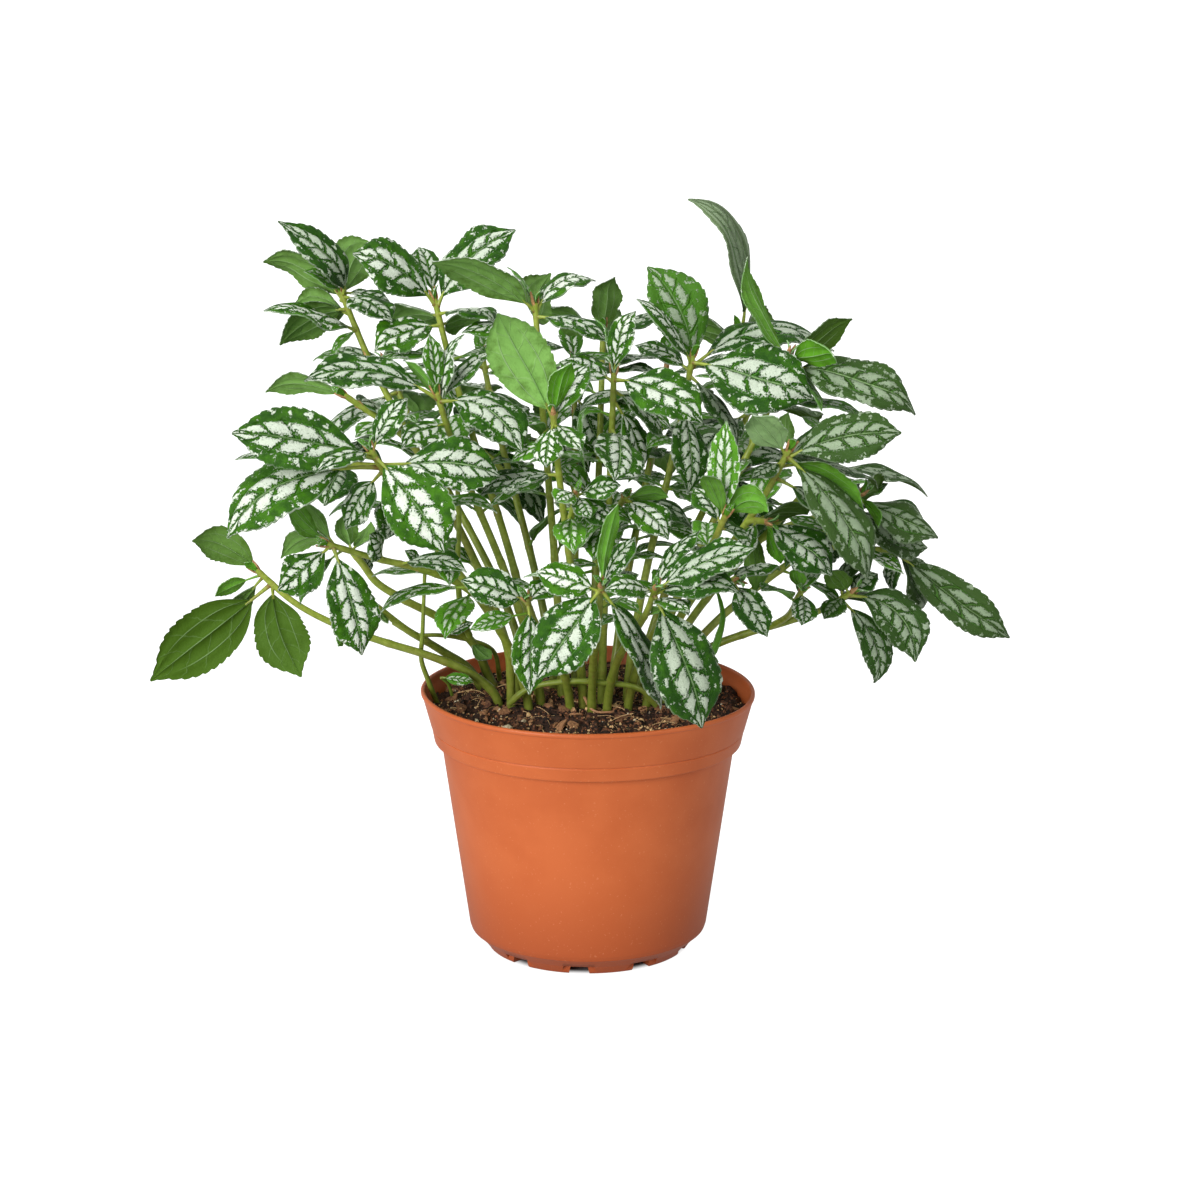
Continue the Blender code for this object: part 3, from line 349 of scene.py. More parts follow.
def fork_path(main, top, fork):
    """A side shoot leaves the main stem partway up and bends to its own top."""
    spot = 1 + (len(main) - 2) * fork
    low = int(spot)
    start = main[low].lerp(main[low + 1], spot - low)
    along = (main[low + 1] - main[low]).normalized()
    outward = (top - start).normalized()
    return spread_curve(start, (along + outward * FORK_LEAN).normalized(), top, outward, STEM_POINTS - 2)


def thicken(points, low, high):
    """A radius for each point, even from the first to the last."""
    last = len(points) - 1
    return [low + (high - low) * index / last for index in range(last + 1)]


def dense(points, radii, step=1.5 * MM):
    """Close points along a path, each with its radius."""
    rows = []
    for (start, low), (end, high) in zip(zip(points, radii), zip(points[1:], radii[1:])):
        count = max(int((end - start).length / step), 1)
        for index in range(count):
            share = index / count
            rows.append((start.lerp(end, share), low + (high - low) * share))
    rows.append((points[-1], radii[-1]))
    return rows


def stems_clash(rows, others):
    """Whether a path comes too near the stems that already stand."""
    for tree, radii in others:
        for point, radius in rows:
            _, index, distance = tree.find(point)
            if distance < radius + radii[index] + STEM_CLEARANCE:
                return True
    return False


def search_tree(rows):
    """A stem's close points in a search tree, and their radii."""
    tree = KDTree(len(rows))
    for index, (point, _) in enumerate(rows):
        tree.insert(point, index)
    tree.balance()
    return tree, [radius for _, radius in rows]


def ring_faces(rings, sides):
    """Four-sided faces between rings of points."""
    faces = []
    for ring in range(rings - 1):
        for side in range(sides):
            near, far = ring * sides + side, ring * sides + (side + 1) % sides
            faces.append((near, far, far + sides, near + sides))
    return faces


def tube_tree(points, radii):
    """The stem's surface in a few flat sides, for testing what would cross it."""
    verts = []
    for index, point in enumerate(points):
        before, after = points[max(index - 1, 0)], points[min(index + 1, len(points) - 1)]
        along = (after - before).normalized()
        side = along.orthogonal().normalized()
        other = along.cross(side)
        for turn in range(TEST_SIDES):
            angle = math.tau * turn / TEST_SIDES
            verts.append(point + (side * math.cos(angle) + other * math.sin(angle)) * radii[index])
    return BVHTree.FromPolygons(verts, ring_faces(len(points), TEST_SIDES))


def path_length(path):
    return sum((end - start).length for start, end in zip(path, path[1:]))


def point_down(path, distance):
    """The point on a path at a distance below its top."""
    left = distance
    for end, start in zip(path[::-1], path[-2::-1]):
        length = (start - end).length
        if left <= length:
            return end.lerp(start, left / length)
        left -= length
    return path[0].copy()


def facing_normal(along, show):
    """The direction that a leaf's upper face looks in, from the share of it that the viewer sees."""
    front = (along * AHEAD.dot(along) - AHEAD).normalized()
    across = along.cross(front)
    rest = math.sqrt(max(1 - show * show, 0))
    options = [front * show + across * rest, front * show - across * rest]
    return max(options, key=lambda option: option.z)


class Blade:
    """A leaf's middle line, width and lie."""

    def __init__(self, root, tip, normal, width, neck, bow, plain):
        chord = tip - root
        self.root = root
        self.tip = tip
        self.width = width * MM
        self.neck = neck
        self.normal = normal
        bend = RIGHT * bow[0] * MM + UP * bow[1] * MM
        self.control = root + chord * 0.5 + normal * chord.length * ARCH + bend * 2
        self.plain = plain

    def at(self, share):
        """Point, sideways direction and upper-face direction at a share of the length."""
        rest = 1 - share
        point = self.root * rest**2 + self.control * (2 * rest * share) + self.tip * share**2
        along = (self.control - self.root) * rest + (self.tip - self.control) * share
        along = along.normalized()
        side = along.cross(self.normal).normalized()
        return point, side, side.cross(along).normalized()

    def edge_rows(self):
        """Shares of the length and half-widths in metres, from the root to the last one before the tip."""
        if self.width >= LARGE_WIDTH * MM and not self.plain:
            edge = LARGE_EDGE
        elif self.width >= MEDIUM_WIDTH * MM:
            edge = MEDIUM_EDGE
        else:
            edge = SMALL_EDGE
        rows = [(0.0, PETIOLE_HALF_WIDTH)]
        for share, part in edge:
            half = max(part * self.width / 2, PETIOLE_HALF_WIDTH)
            rows.append((self.neck + (1 - self.neck) * share, half))
        return rows

    def tree(self, skip):
        """The blade's surface with room around it, from a row of its edge on, to test what crosses it."""
        half = BLADE_THICKNESS / 2 + BLADE_GAP
        rows = self.edge_rows()[skip:]
        verts, faces = [], []
        for share, reach in rows:
            point, side, up = self.at(share)
            for height in (half, -half):
                verts.append(point - side * reach + up * height)
                verts.append(point + side * reach + up * height)
        point, _, up = self.at(1)
        verts += [point + up * half, point - up * half]
        end = 4 * len(rows) - 4
        for here in range(0, end, 4):
            for one, two in ((0, 1), (2, 3), (0, 2), (1, 3)):
                first, second = here + one, here + two
                faces += [(first, second, second + 4), (first, second + 4, first + 4)]
        for corners in ((0, 1, 4), (2, 5, 3), (0, 4, 5), (0, 5, 2), (1, 3, 5), (1, 5, 4)):
            faces.append([end + corner for corner in corners])
        faces += [(0, 2, 3), (0, 3, 1)]
        return BVHTree.FromPolygons(verts, faces)

    def box(self):
        return box_round([self.at(share / 4)[0] for share in range(5)], self.width / 2 + 2 * MM)


def box_round(points, reach):
    """The low and high corners of a box round points, with some room."""
    low = Vector([min(point[axis] for point in points) - reach for axis in range(3)])
    high = Vector([max(point[axis] for point in points) + reach for axis in range(3)])
    return low, high


def boxes_meet(first, second):
    return all(first[0][axis] <= second[1][axis] and second[0][axis] <= first[1][axis] for axis in range(3))


# Small changes tried in turn until a leaf is clear: slide in mm along the line of sight or the
# face's direction, change of length, and change of roll in degrees
TRIES = [
    (slide, length, roll)
    for length in (1.0, 0.93, 0.86, 0.78, 0.7)
    for roll in (0, 12, -12, 24, -24)
    for slide in (0, -5, 5, -10, 10, -15, 15, -21, 21)
]


# Sways of a stem in mm, and turns of its foot about the pot's middle in degrees, tried in turn
STEM_TRIES = [
    (sway, turn)
    for turn in (0, 9, -9, 18, -18, 27, -27)
    for sway in (0, 4, -4, 8, -8, 12, -12)
]


class Placed:
    """Everything that already stands, for testing the next leaf against."""

    def __init__(self):
        self.stems = []
        self.blades = []

    def add_stem(self, plant, points, radii):
        self.stems.append((plant, box_round(points, 3 * MM), tube_tree(points, radii)))

    def clear(self, plant, blade):
        """Whether a blade crosses nothing, apart from its own shoot and neighbours at its very root."""
        box = blade.box()
        lowest = min(blade.at(share / 6)[0].z for share in range(2, 7))
        if lowest < LEAF_FLOOR:
            return False
        whole, outer, spread = (blade.tree(skip) for skip in range(3))
        for owner, other_box, tree in self.stems:
            if boxes_meet(box, other_box) and (spread if owner == plant else whole).overlap(tree):
                return False
        for owner, other_box, tree, outer_tree in self.blades:
            if boxes_meet(box, other_box):
                if outer.overlap(outer_tree) if owner == plant else whole.overlap(tree):
                    return False
        return True

    def add_blade(self, plant, blade):
        self.blades.append((plant, blade.box(), blade.tree(0), blade.tree(1)))


def settle(placed, plant, root, tip, normal, slide_way, width, neck, bow, plain):
    """Slides, shortens and rolls a leaf until it is clear of everything that stands, and gives None if it
    can't be.
    """
    for slide, length, roll in TRIES:
        end = root + (tip + slide_way * slide * MM - root) * length
        along = (end - root).normalized()
        start = root + along * ROOT_OFFSET
        across = along.cross(normal).normalized()
        upper = across.cross(along).normalized()
        angle = math.radians(roll)
        upper = upper * math.cos(angle) + across * math.sin(angle)
        blade = Blade(start, end, upper, width * (0.5 + 0.5 * length), neck, bow, plain)
        if placed.clear(plant, blade):
            placed.add_blade(plant, blade)
            return blade
    return None


def front_leaf(placed, plant, path, top, one):
    """A leaf that the front view shows."""
    root = point_down(path, one["down"] * MM)
    tip = seen(*(start + change for start, change in zip(top, one["tip"])))
    normal = facing_normal((tip - root).normalized(), one["show"])
    plain = one["tip"][2] >= HIDDEN_DEPTH
    return settle(placed, plant, root, tip, normal, AHEAD, one["width"], one["neck"], one["bow"], plain)


def back_leaves(placed, plant, path, draw):
    """Crossed pairs of leaves down a shoot that the front view hides."""
    blades = []
    turn = draw.uniform(0, math.pi)
    axis = (path[-1] - path[-2]).normalized()
    for count, down, length, width, rise in BACK_LEAVES:
        for side in range(count):
            angle = turn + side * math.pi + draw.uniform(-0.3, 0.3)
            tilt = math.radians(rise + draw.uniform(-8, 8))
            size = draw.uniform(0.86, 1.08)
            out = Vector((math.cos(angle), math.sin(angle), 0)) + Vector((axis.x, axis.y, 0)) * 0.4
            out.normalize()
            way = out * math.cos(tilt) + Vector((0, 0, math.sin(tilt)))
            root = point_down(path, down * MM)
            tip = root + way * length * size * MM
            upper = Vector((0, 0, 1)) + out * 0.35
            upper = (upper - way * upper.dot(way)).normalized()
            blades.append(settle(placed, plant, root, tip, upper, upper, width * size, 0.13, (0, 0), True))
        turn += math.pi / 2
    return blades


def plan_plants():
    """Every stem's path and every leaf's place, worked out before anything is built."""
    everything = dict(PLANTS)
    for name, (first, second) in BACK_SHOOTS.items():
        everything[name] = [shoot(*first, None), shoot(*second, None, BACK_FORK)]
    standing = []
    plans = {}
    for name, shoots in everything.items():
        main = None
        stems = []
        for one in shoots:
            top = seen(*one["top"])
            for sway, turn in STEM_TRIES:
                if one["fork"] is None:
                    path = main_path(top, sway, turn, one["bend"])
                    radii = [STEM_RADIUS_LOW] + thicken(path[1:], STEM_RADIUS_LOW, STEM_RADIUS_TOP)
                else:
                    path = fork_path(main, top, one["fork"] + sway * FORK_SHIFT)
                    radii = thicken(path, SHOOT_RADIUS_LOW, STEM_RADIUS_TOP)
                rows = dense(path, radii)
                if not stems_clash(rows, standing):
                    break
            else:
                raise RuntimeError(f"no clear way up for a stem of {name}")
            main = main or path
            stems.append((path, radii, one, rows))
        standing += [search_tree(rows) for _, _, _, rows in stems]
        plans[name] = stems
    placed = Placed()
    for name, stems in plans.items():
        for path, radii, _, _ in stems:
            placed.add_stem(name, path, radii)
    draw = random.Random(BACK_SEED)
    blades = {name: [] for name in plans}
    for name, stems in plans.items():
        for path, _, one, _ in stems:
            if one["leaves"] is None:
                found = back_leaves(placed, name, path, draw)
            else:
                found = [front_leaf(placed, name, path, one["top"], row) for row in one["leaves"]]
            blades[name] += [blade for blade in found if blade is not None]
    return plans, blades, placed


# Fine form of a blade: its half-width along its length, as a share of the widest
OUTLINE = (
    (0.0, 0.06), (0.05, 0.22), (0.12, 0.44), (0.22, 0.7), (0.35, 0.9), (0.48, 0.99), (0.59, 1.0), (0.7, 0.91),
    (0.79, 0.73), (0.865, 0.48), (0.92, 0.27), (0.965, 0.12), (1.0, 0.03),
)
TOOTH_ZONE = (0.27, 0.955)
# Rows of one tooth: their place in it, and how far the edge stands out there
COARSE_TOOTH = ((0.0, 0.0), (0.8, 1.0))
FINE_TOOTH = ((0.0, 0.0), (0.42, 0.72), (0.84, 1.0))
# Grids of the blades: number of teeth, rows of a tooth, rows before the teeth, and columns from the midrib
FORMS = {
    "large": (
        9, FINE_TOOTH, (0, 0.015, 0.04, 0.08, 0.13, 0.19, 0.25), (0, 0.07, 0.2, 0.36, 0.5, 0.64, 0.82, 1),
    ),
    "medium": (7, COARSE_TOOTH, (0, 0.02, 0.06, 0.12, 0.2), (0, 0.09, 0.3, 0.5, 0.75, 1)),
    "small": (5, COARSE_TOOTH, (0, 0.03, 0.09, 0.18), (0, 0.1, 0.35, 0.6, 1)),
}
# A blade narrower than YOUNG_FROM is partly young, and wholly so when it is narrower by YOUNG_SPAN
YOUNG_FROM = 13 * MM
YOUNG_SPAN = 7 * MM
LATERAL_VEIN = 0.5
CROSS_VEIN_SLANT = 0.24
STEM_SIDES = 10
STEM_STEP = 2.6 * MM
JOINT_SPACING = 25 * MM
SCALE_LENGTH = 6.2 * MM
# Rows of a scale from its base to its end: share of its length, half-width and distance from the joint in mm
SCALE_ROWS = ((0, 0.9, 1.3), (0.3, 1.25, 2.0), (0.65, 0.85, 2.3), (1, 0.12, 2.5))
# Half-widths at which the teeth, the ribs and the stalk reach their full size
TOOTH_FULL = 13 * MM
RIB_FULL = 12 * MM
STALK_FULL = 26 * MM
STALK_RINGS = 6
STALK_SIDES = 8
TIP_NECK = 0.04
INNER_NECK = 0.14
# The window between the stems that the viewer looks through: left, right, bottom and top in mm
OPENING = (-60, -18, 48, 88)
# Angles in degrees from which an edge looks sharp
LEAF_SHARP = 52
LITTER_SHARP = 50
# Places of the finishes in a leafy stem's list
UPPER, UNDER, STEM, SCALE = range(4)


def smooth_curve(places, values, wanted):
    """Values between given places on a smooth curve."""
    places, values = np.array(places), np.array(values)
    slopes = np.gradient(values, places)
    low = np.clip(np.searchsorted(places, wanted, side="right") - 1, 0, len(places) - 2)
    span = places[low + 1] - places[low]
    share = (wanted - places[low]) / span
    square, cube = share**2, share**3
    start = values[low] * (2 * cube - 3 * square + 1) + slopes[low] * span * (cube - 2 * square + share)
    return start + values[low + 1] * (3 * square - 2 * cube) + slopes[low + 1] * span * (cube - square)


def deselect_all():
    """Leaves edit mode and deselects every object."""
    if bpy.context.mode != "OBJECT":
        bpy.ops.object.mode_set(mode="OBJECT")
    bpy.ops.object.select_all(action="DESELECT")


def select_only(piece):
    deselect_all()
    piece.select_set(True)
    bpy.context.view_layer.objects.active = piece


def taken_form(made):
    """Points and faces of a shape that was modelled only to be repeated, which is then removed."""
    points = np.array([vert.co for vert in made.data.vertices])
    faces = [tuple(face.vertices) for face in made.data.polygons]
    bpy.data.objects.remove(made, do_unlink=True)
    return points, faces


def apply_modifiers(piece):
    select_only(piece)
    for modifier in list(piece.modifiers):
        bpy.ops.object.modifier_apply(modifier=modifier.name)


class LeafForm:
    """A flat blade modelled once as a grid and given two faces and a rim, for all leaves of a size."""

    def __init__(self, teeth, tooth, start, columns):
        low, high = TOOTH_ZONE
        rows = [(share, 1.0) for share in start]
        for index in range(teeth):
            rows += [(low + (index + place) * (high - low) / teeth, out) for place, out in tooth]
        rows += [(high, 0.0), (0.978, 1.0), (1.0, 1.0)]
        across = [-column for column in columns[:0:-1]] + list(columns)
        deselect_all()
        bpy.ops.mesh.primitive_grid_add(x_subdivisions=len(across) - 1, y_subdivisions=len(rows) - 1, size=2)
        grid = bpy.context.object
        for vert in grid.data.vertices:
            column = round((vert.co.x + 1) / 2 * (len(across) - 1))
            row = round((vert.co.y + 1) / 2 * (len(rows) - 1))
            vert.co = (across[column], row, 0)
        wall = grid.modifiers.new("two faces", "SOLIDIFY")
        wall.thickness = 1
        wall.offset = 0
        wall.use_rim = True
        for _ in range(2):
            grid.data.materials.append(None)
        wall.material_offset = 1
        wall.material_offset_rim = 0
        apply_modifiers(grid)
        self.finish = [UPPER if face.material_index == 0 else UNDER for face in grid.data.polygons]
        places, self.faces = taken_form(grid)
        rounded = np.rint(places[:, 1]).astype(int)
        self.across = places[:, 0]
        self.share = np.array([row[0] for row in rows])[rounded]
        self.peak = np.array([row[1] for row in rows])[rounded]
        self.face = np.sign(places[:, 2])


def new_piece(name, points, faces, marks, sharp, materials):
    """A smooth piece from points and faces, with its marks by name, sharp beyond an angle in degrees."""
    mesh = bpy.data.meshes.new(name)
    mesh.from_pydata(points.tolist(), [], faces)
    for mark, rows in marks.items():
        values = mesh.attributes.new(mark, "FLOAT", "POINT")
        values.data.foreach_set("value", rows)
    mesh.shade_smooth()
    mesh.set_sharp_from_angle(angle=math.radians(sharp))
    for finish in materials:
        mesh.materials.append(finish)
    made = bpy.data.objects.new(name, mesh)
    bpy.context.scene.collection.objects.link(made)
    return made


class Growth:
    """Gathers the faces of one leafy stem."""

    def __init__(self):
        self.points, self.faces, self.finish, self.maps = [], [], [], []
        self.marks = {"leaf_seed": [], "youth": [], "tone": [], "joint": []}
        self.count = 0

    def add(self, points, faces, finish, flat_map, **marks):
        self.points.append(points)
        self.faces += [tuple(corner + self.count for corner in face) for face in faces]
        self.finish += finish
        self.maps.append(flat_map)
        for name, rows in self.marks.items():
            rows.append(np.broadcast_to(marks.get(name, 0.0), len(points)))
        self.count += len(points)

    def piece(self, name, materials):
        marks = {mark: np.concatenate(rows).astype(np.float32) for mark, rows in self.marks.items()}
        made = new_piece(name, np.concatenate(self.points), self.faces, marks, LEAF_SHARP, materials)
        mesh = made.data
        mesh.polygons.foreach_set("material_index", self.finish)
        corners = np.zeros(len(mesh.loops), int)
        mesh.loops.foreach_get("vertex_index", corners)
        layer = mesh.uv_layers.new(name="leaf")
        layer.data.foreach_set("uv", np.concatenate(self.maps)[corners].astype(np.float32).ravel())
        return made


def blade_frames(blade, shares):
    """Points, sideways and upper directions along a blade's middle line, as arrays."""
    root, control, tip = np.array(blade.root), np.array(blade.control), np.array(blade.tip)
    share = np.asarray(shares)[:, None]
    rest = 1 - share
    point = root * rest**2 + control * (2 * rest * share) + tip * share**2
    along = (control - root) * rest + (tip - control) * share
    along /= np.linalg.norm(along, axis=1)[:, None]
    side = np.cross(along, np.array(blade.normal))
    side /= np.linalg.norm(side, axis=1)[:, None]
    return point, side, np.cross(side, along)


def quilt(share, reach):
    """Rise of the blade between its veins, from 0 in the grooves to 1 on the pads."""
    pads = np.abs(np.sin(math.pi * cell_count(share - CROSS_VEIN_SLANT * reach)))
    inner = np.sin(math.pi * np.clip(reach / LATERAL_VEIN, 0, 1)) * (0.62 + 0.38 * pads)
    outer = np.sin(math.pi * np.clip((reach - LATERAL_VEIN) / (1 - LATERAL_VEIN), 0, 1)) * 0.6
    return inner + outer


def cell_count(place):
    """Counts the silver patches passed on the way from a blade's base to its tip."""
    return 3.2 * place + 2.2 * place**2 - 0.17


def grow_leaf(growth, form, blade, sizes, draw, youth, tone):
    """A leaf in full: its outline, teeth, pads, folds and ribs laid along its blade, and its stalk."""
    half = blade.width / 2
    length = (blade.tip - blade.root).length
    share, across, face = form.share, form.across, form.face
    reach = np.abs(across)
    places, widths = zip(*OUTLINE)
    spread = smooth_curve(places, widths, share ** draw.uniform(0.88, 1.08)) * half
    zone = np.clip((share - TOOTH_ZONE[0]) / 0.12, 0, 1) * np.clip((1 - share) / 0.1, 0, 1)
    bite = (1 - form.peak) * zone * sizes.tooth_depth * min(half / TOOTH_FULL, 1)
    sideways = across * spread
    rim = reach > 0.999
    sideways[rim] -= np.sign(across[rim]) * bite[rim]

    fold = draw.uniform(-0.04, 0.16) + youth * 0.15
    droop = draw.uniform(0.4, 1.3) * sizes.edge_droop
    wave = draw.uniform(0.05, 0.15)
    phase = draw.uniform(0, 1)
    twist = draw.uniform(-0.25, 0.25)
    curl = draw.uniform(0.0, 0.13)
    sway = draw.uniform(-0.06, 0.06)
    buckle = draw.uniform(0.0, 0.1)
    height = spread * (sizes.pad_rise * quilt(share, reach) - droop * reach**2 + fold * reach)
    ripple = np.sin(math.tau * (1.7 * share + phase + (across > 0) * 0.31))
    height += spread * wave * ripple * reach**2
    height += spread * buckle * np.sin(math.tau * (0.9 * share + 2 * phase)) * (1 - reach)
    height -= length * curl * np.clip((share - 0.65) / 0.35, 0, 1) ** 2
    sideways += length * sway * np.clip((share - 0.5) / 0.5, 0, 1) ** 2
    height -= (reach < 0.01) * 0.25 * MM * (1 - share)
    rib = np.exp(-((reach / 0.05) ** 2)) * 0.7 * MM
    rib = rib + np.exp(-(((reach - LATERAL_VEIN) / 0.04) ** 2)) * 0.15 * MM
    height += face * sizes.blade_thickness / 2 - (face < 0) * rib * (1 - share) * min(half / RIB_FULL, 1)
    angle = twist * share
    turned_side = sideways * np.cos(angle) - height * np.sin(angle)
    turned_up = height * np.cos(angle) + sideways * np.sin(angle)

    point, side, up = blade_frames(blade, blade.neck + (1 - blade.neck) * share)
    points = point + side * turned_side[:, None] + up * turned_up[:, None]
    flat_map = np.stack((across * 0.5 + 0.5, share), axis=1)
    seed = draw.random()
    growth.add(points, form.faces, form.finish, flat_map, leaf_seed=seed, youth=youth, tone=tone)

    stalk_end = blade.neck + 0.05 * (1 - blade.neck)
    stalk_points, _, _ = blade_frames(blade, np.linspace(0, stalk_end, STALK_RINGS))
    thick = np.interp(np.linspace(0, 1, STALK_RINGS), (0, 0.3, 1), (1.15, 0.85, 0.55))
    thick = thick * MM * min(0.55 + half / STALK_FULL, 1.1)
    grow_tube(growth, stalk_points, thick, STALK_SIDES, np.array([0.9, 0.35, 0.12, 0, 0, 0]), youth)


def grow_tube(growth, points, radii, sides, joint, youth):
    """A closed round tube along points, each with its radius and how much of a joint's colour it has."""
    points = np.asarray(points)
    along = np.gradient(points, axis=0)
    along /= np.linalg.norm(along, axis=1)[:, None]
    side = np.cross(along[0], (0.31, 0.87, 0.38))
    side /= np.linalg.norm(side)
    rings, maps = [], []
    travelled = 0.0
    turns = np.linspace(0, math.tau, sides, endpoint=False)
    for index, point in enumerate(points):
        side = side - along[index] * np.dot(side, along[index])
        side /= np.linalg.norm(side)
        other = np.cross(along[index], side)
        ring = np.cos(turns)[:, None] * side + np.sin(turns)[:, None] * other
        rings.append(point + ring * radii[index])
        if index:
            travelled += np.linalg.norm(point - points[index - 1])
        maps.append(np.stack((turns / math.tau, np.full(sides, travelled)), axis=1))
    last = len(points) - 1
    faces = ring_faces(last + 1, sides)
    ends = np.stack((points[0] - along[0] * radii[0] * 0.5, points[-1] + along[-1] * radii[-1] * 0.6))
    bottom, top = (last + 1) * sides, (last + 1) * sides + 1
    faces += [(bottom, (turn + 1) % sides, turn) for turn in range(sides)]
    faces += [(top, last * sides + turn, last * sides + (turn + 1) % sides) for turn in range(sides)]
    everything = np.concatenate(rings + [ends])
    joints = np.concatenate((np.repeat(joint, sides), joint[[0, -1]]))
    flat_map = np.concatenate(maps + [np.array([[0.5, 0.0], [0.5, travelled]])])
    growth.add(everything, faces, [STEM] * len(faces), flat_map, joint=joints, youth=youth)


def grow_stem(growth, path, radii, joints, youth=0.0):
    """A stem along a smooth line through its path, swollen at its joints, which are counted from its top."""
    points = np.array([list(point) for point in path])
    steps = np.linalg.norm(np.diff(points, axis=0), axis=1)
    reached = np.concatenate(([0], np.cumsum(steps)))
    wanted = np.linspace(0, reached[-1], max(int(reached[-1] / STEM_STEP), 4) + 1)
    for joint in joints:
        place = reached[-1] - joint
        if 0 < place < reached[-1]:
            wanted = np.concatenate((wanted, place + np.array((-1.2, 0, 1.2)) * MM))
    wanted = np.unique(np.clip(wanted, 0, reached[-1]))
    wanted = wanted[np.concatenate(([True], np.diff(wanted) > 0.3 * MM))]
    line = np.stack([smooth_curve(reached, points[:, axis], wanted) for axis in range(3)], axis=1)
    thick = np.interp(wanted, reached, radii)
    near = np.zeros(len(wanted))
    for joint in joints:
        near = np.maximum(near, np.exp(-(((wanted - (reached[-1] - joint)) / (1.5 * MM)) ** 2)))
    grow_tube(growth, line, thick * (1 + 0.12 * near), STEM_SIDES, near * 0.35, youth)


def shoot_joints(rows, length, draw):
    """Where a shoot's joints are: at its leaves, and then at steady steps down to the soil."""
    joints = []
    for down in sorted(rows):
        if not joints or down - joints[-1] > 3.5 * MM:
            joints.append(down)
    place = joints[-1] + JOINT_SPACING * draw.uniform(0.6, 0.9)
    while place < length - 8 * MM:
        joints.append(place)
        place += JOINT_SPACING * draw.uniform(0.85, 1.2)
    return joints


def grow_tip(growth, forms, path, sizes, draw):
    """The end of a shoot: two folded young leaves between papery scales."""
    top, below = path[-1], path[-2]
    along = (top - below).normalized()
    side = along.orthogonal().normalized()
    side.rotate(Quaternion(along, draw.uniform(0, math.pi)))
    for way in (1, -1):
        face = (along * 0.5 - side * way).normalized()
        lean = (along + side * way * 0.45).normalized()
        root = top - along * 0.5 * MM
        end = root + lean * (draw.uniform(6, 9) * MM)
        blade = Blade(root, end, face, draw.uniform(2.6, 3.6), TIP_NECK, (0, 0), False)
        grow_leaf(growth, forms["small"], blade, sizes, draw, 1.0, 0.75)
    grow_scales(growth, top - along * 1.2 * MM, along, draw, 1.0)


def grow_scales(growth, place, along, draw, size):
    """A pair of papery scales that hug a joint."""
    side = along.orthogonal().normalized()
    side.rotate(Quaternion(along, draw.uniform(0, math.pi)))
    for way in (1, -1):
        out = side * way
        across = along.cross(out).normalized()
        length = SCALE_LENGTH * size * draw.uniform(0.75, 1.15)
        rows = []
        for share, width, lift in SCALE_ROWS:
            middle = place + along * length * share + out * lift * size * MM
            for turn in (-1, 0, 1):
                rows.append(middle + across * width * turn * size * MM - out * abs(turn) * 0.5 * size * MM)
        inner = [row - out * 0.3 * MM for row in rows]
        points = np.array([list(row) for row in rows + inner])
        faces = []
        for row in range(3):
            for column in range(2):
                corner = row * 3 + column
                faces.append((corner, corner + 1, corner + 4, corner + 3))
                faces.append((corner + 12, corner + 15, corner + 16, corner + 13))
        border = [0, 1, 2, 5, 8, 11, 10, 9, 6, 3]
        for first, second in zip(border, border[1:] + border[:1]):
            faces.append((second, first, first + 12, second + 12))
        flat_map = np.array([[column / 2, row / 3] for row in range(4) for column in range(3)] * 2)
        growth.add(points, faces, [SCALE] * len(faces), flat_map, leaf_seed=draw.random())


def inner_leaves(placed, name, path, joints, sizes, draw):
    """Pairs of smaller leaves at a shoot's lower joints, which fill the plant's inside."""
    found = []
    turn = draw.uniform(0, math.pi)
    for joint in joints:
        root = point_down(path, joint)
        turn += math.pi / 2 + draw.uniform(-0.3, 0.3)
        if root.z < sizes.inner_height:
            continue
        for side in (0, math.pi):
            length = draw.uniform(24, 42) * MM
            angle = turn + side
            way = Vector((math.cos(angle), math.sin(angle), draw.uniform(-0.2, 0.5))).normalized()
            upper = Vector((way.x * 0.3, way.y * 0.3, 1))
            upper = (upper - way * upper.dot(way)).normalized()
            width = length / MM * draw.uniform(0.38, 0.48)
            right, up, _ = viewed(root + way * length * 0.5)
            if OPENING[0] < right < OPENING[1] and OPENING[2] < up < OPENING[3]:
                continue
            tip = root + way * length
            found.append(settle(placed, name, root, tip, upper, upper, width, INNER_NECK, (0, 0), True))
    return [blade for blade in found if blade is not None]


# Youth and tone of leaves that stand out, by leafy stem and place in its row of leaves: youth turns a leaf
# yellow-green, and tone runs from dull and dark (0) to bright and silvery (1). The tone is partly the leaf's
# own colour and partly painted light and shade: leaves in shade have low tones, and lit and glossy leaves
# high tones
TONES = {
    ("far_left", 0): (0.0, 0.0), ("far_left", 1): (0.0, 0.05), ("far_left", 2): (0.0, 0.3),
    ("middle_front", 0): (0.12, 0.95), ("middle_front", 2): (1.0, 0.9),
    ("middle_front_right", 0): (0.8, 0.9), ("middle_front_right", 1): (0.6, 0.8),
    ("middle_right", 0): (0.35, 0.25), ("middle_right", 1): (0.0, 0.5),
    ("right_front", 2): (0.0, 1.4), ("right_front", 3): (0.8, 0.55), ("right_front", 9): (1.0, 0.6),
    ("right_low", 8): (0.8, 0.7), ("right_upper", 0): (0.0, 0.1), ("right_upper", 1): (0.6, 0.6),
    ("right_upper", 3): (1.0, 0.9), ("right_upper", 5): (0.0, -0.5),
}

# Leaves that are turned a little further than their solids: how much of the upper face, or less than 0 of the
# underside, the viewer sees
TURNED = {("right_upper", 5): 0.5, ("right_upper", 1): -0.35}

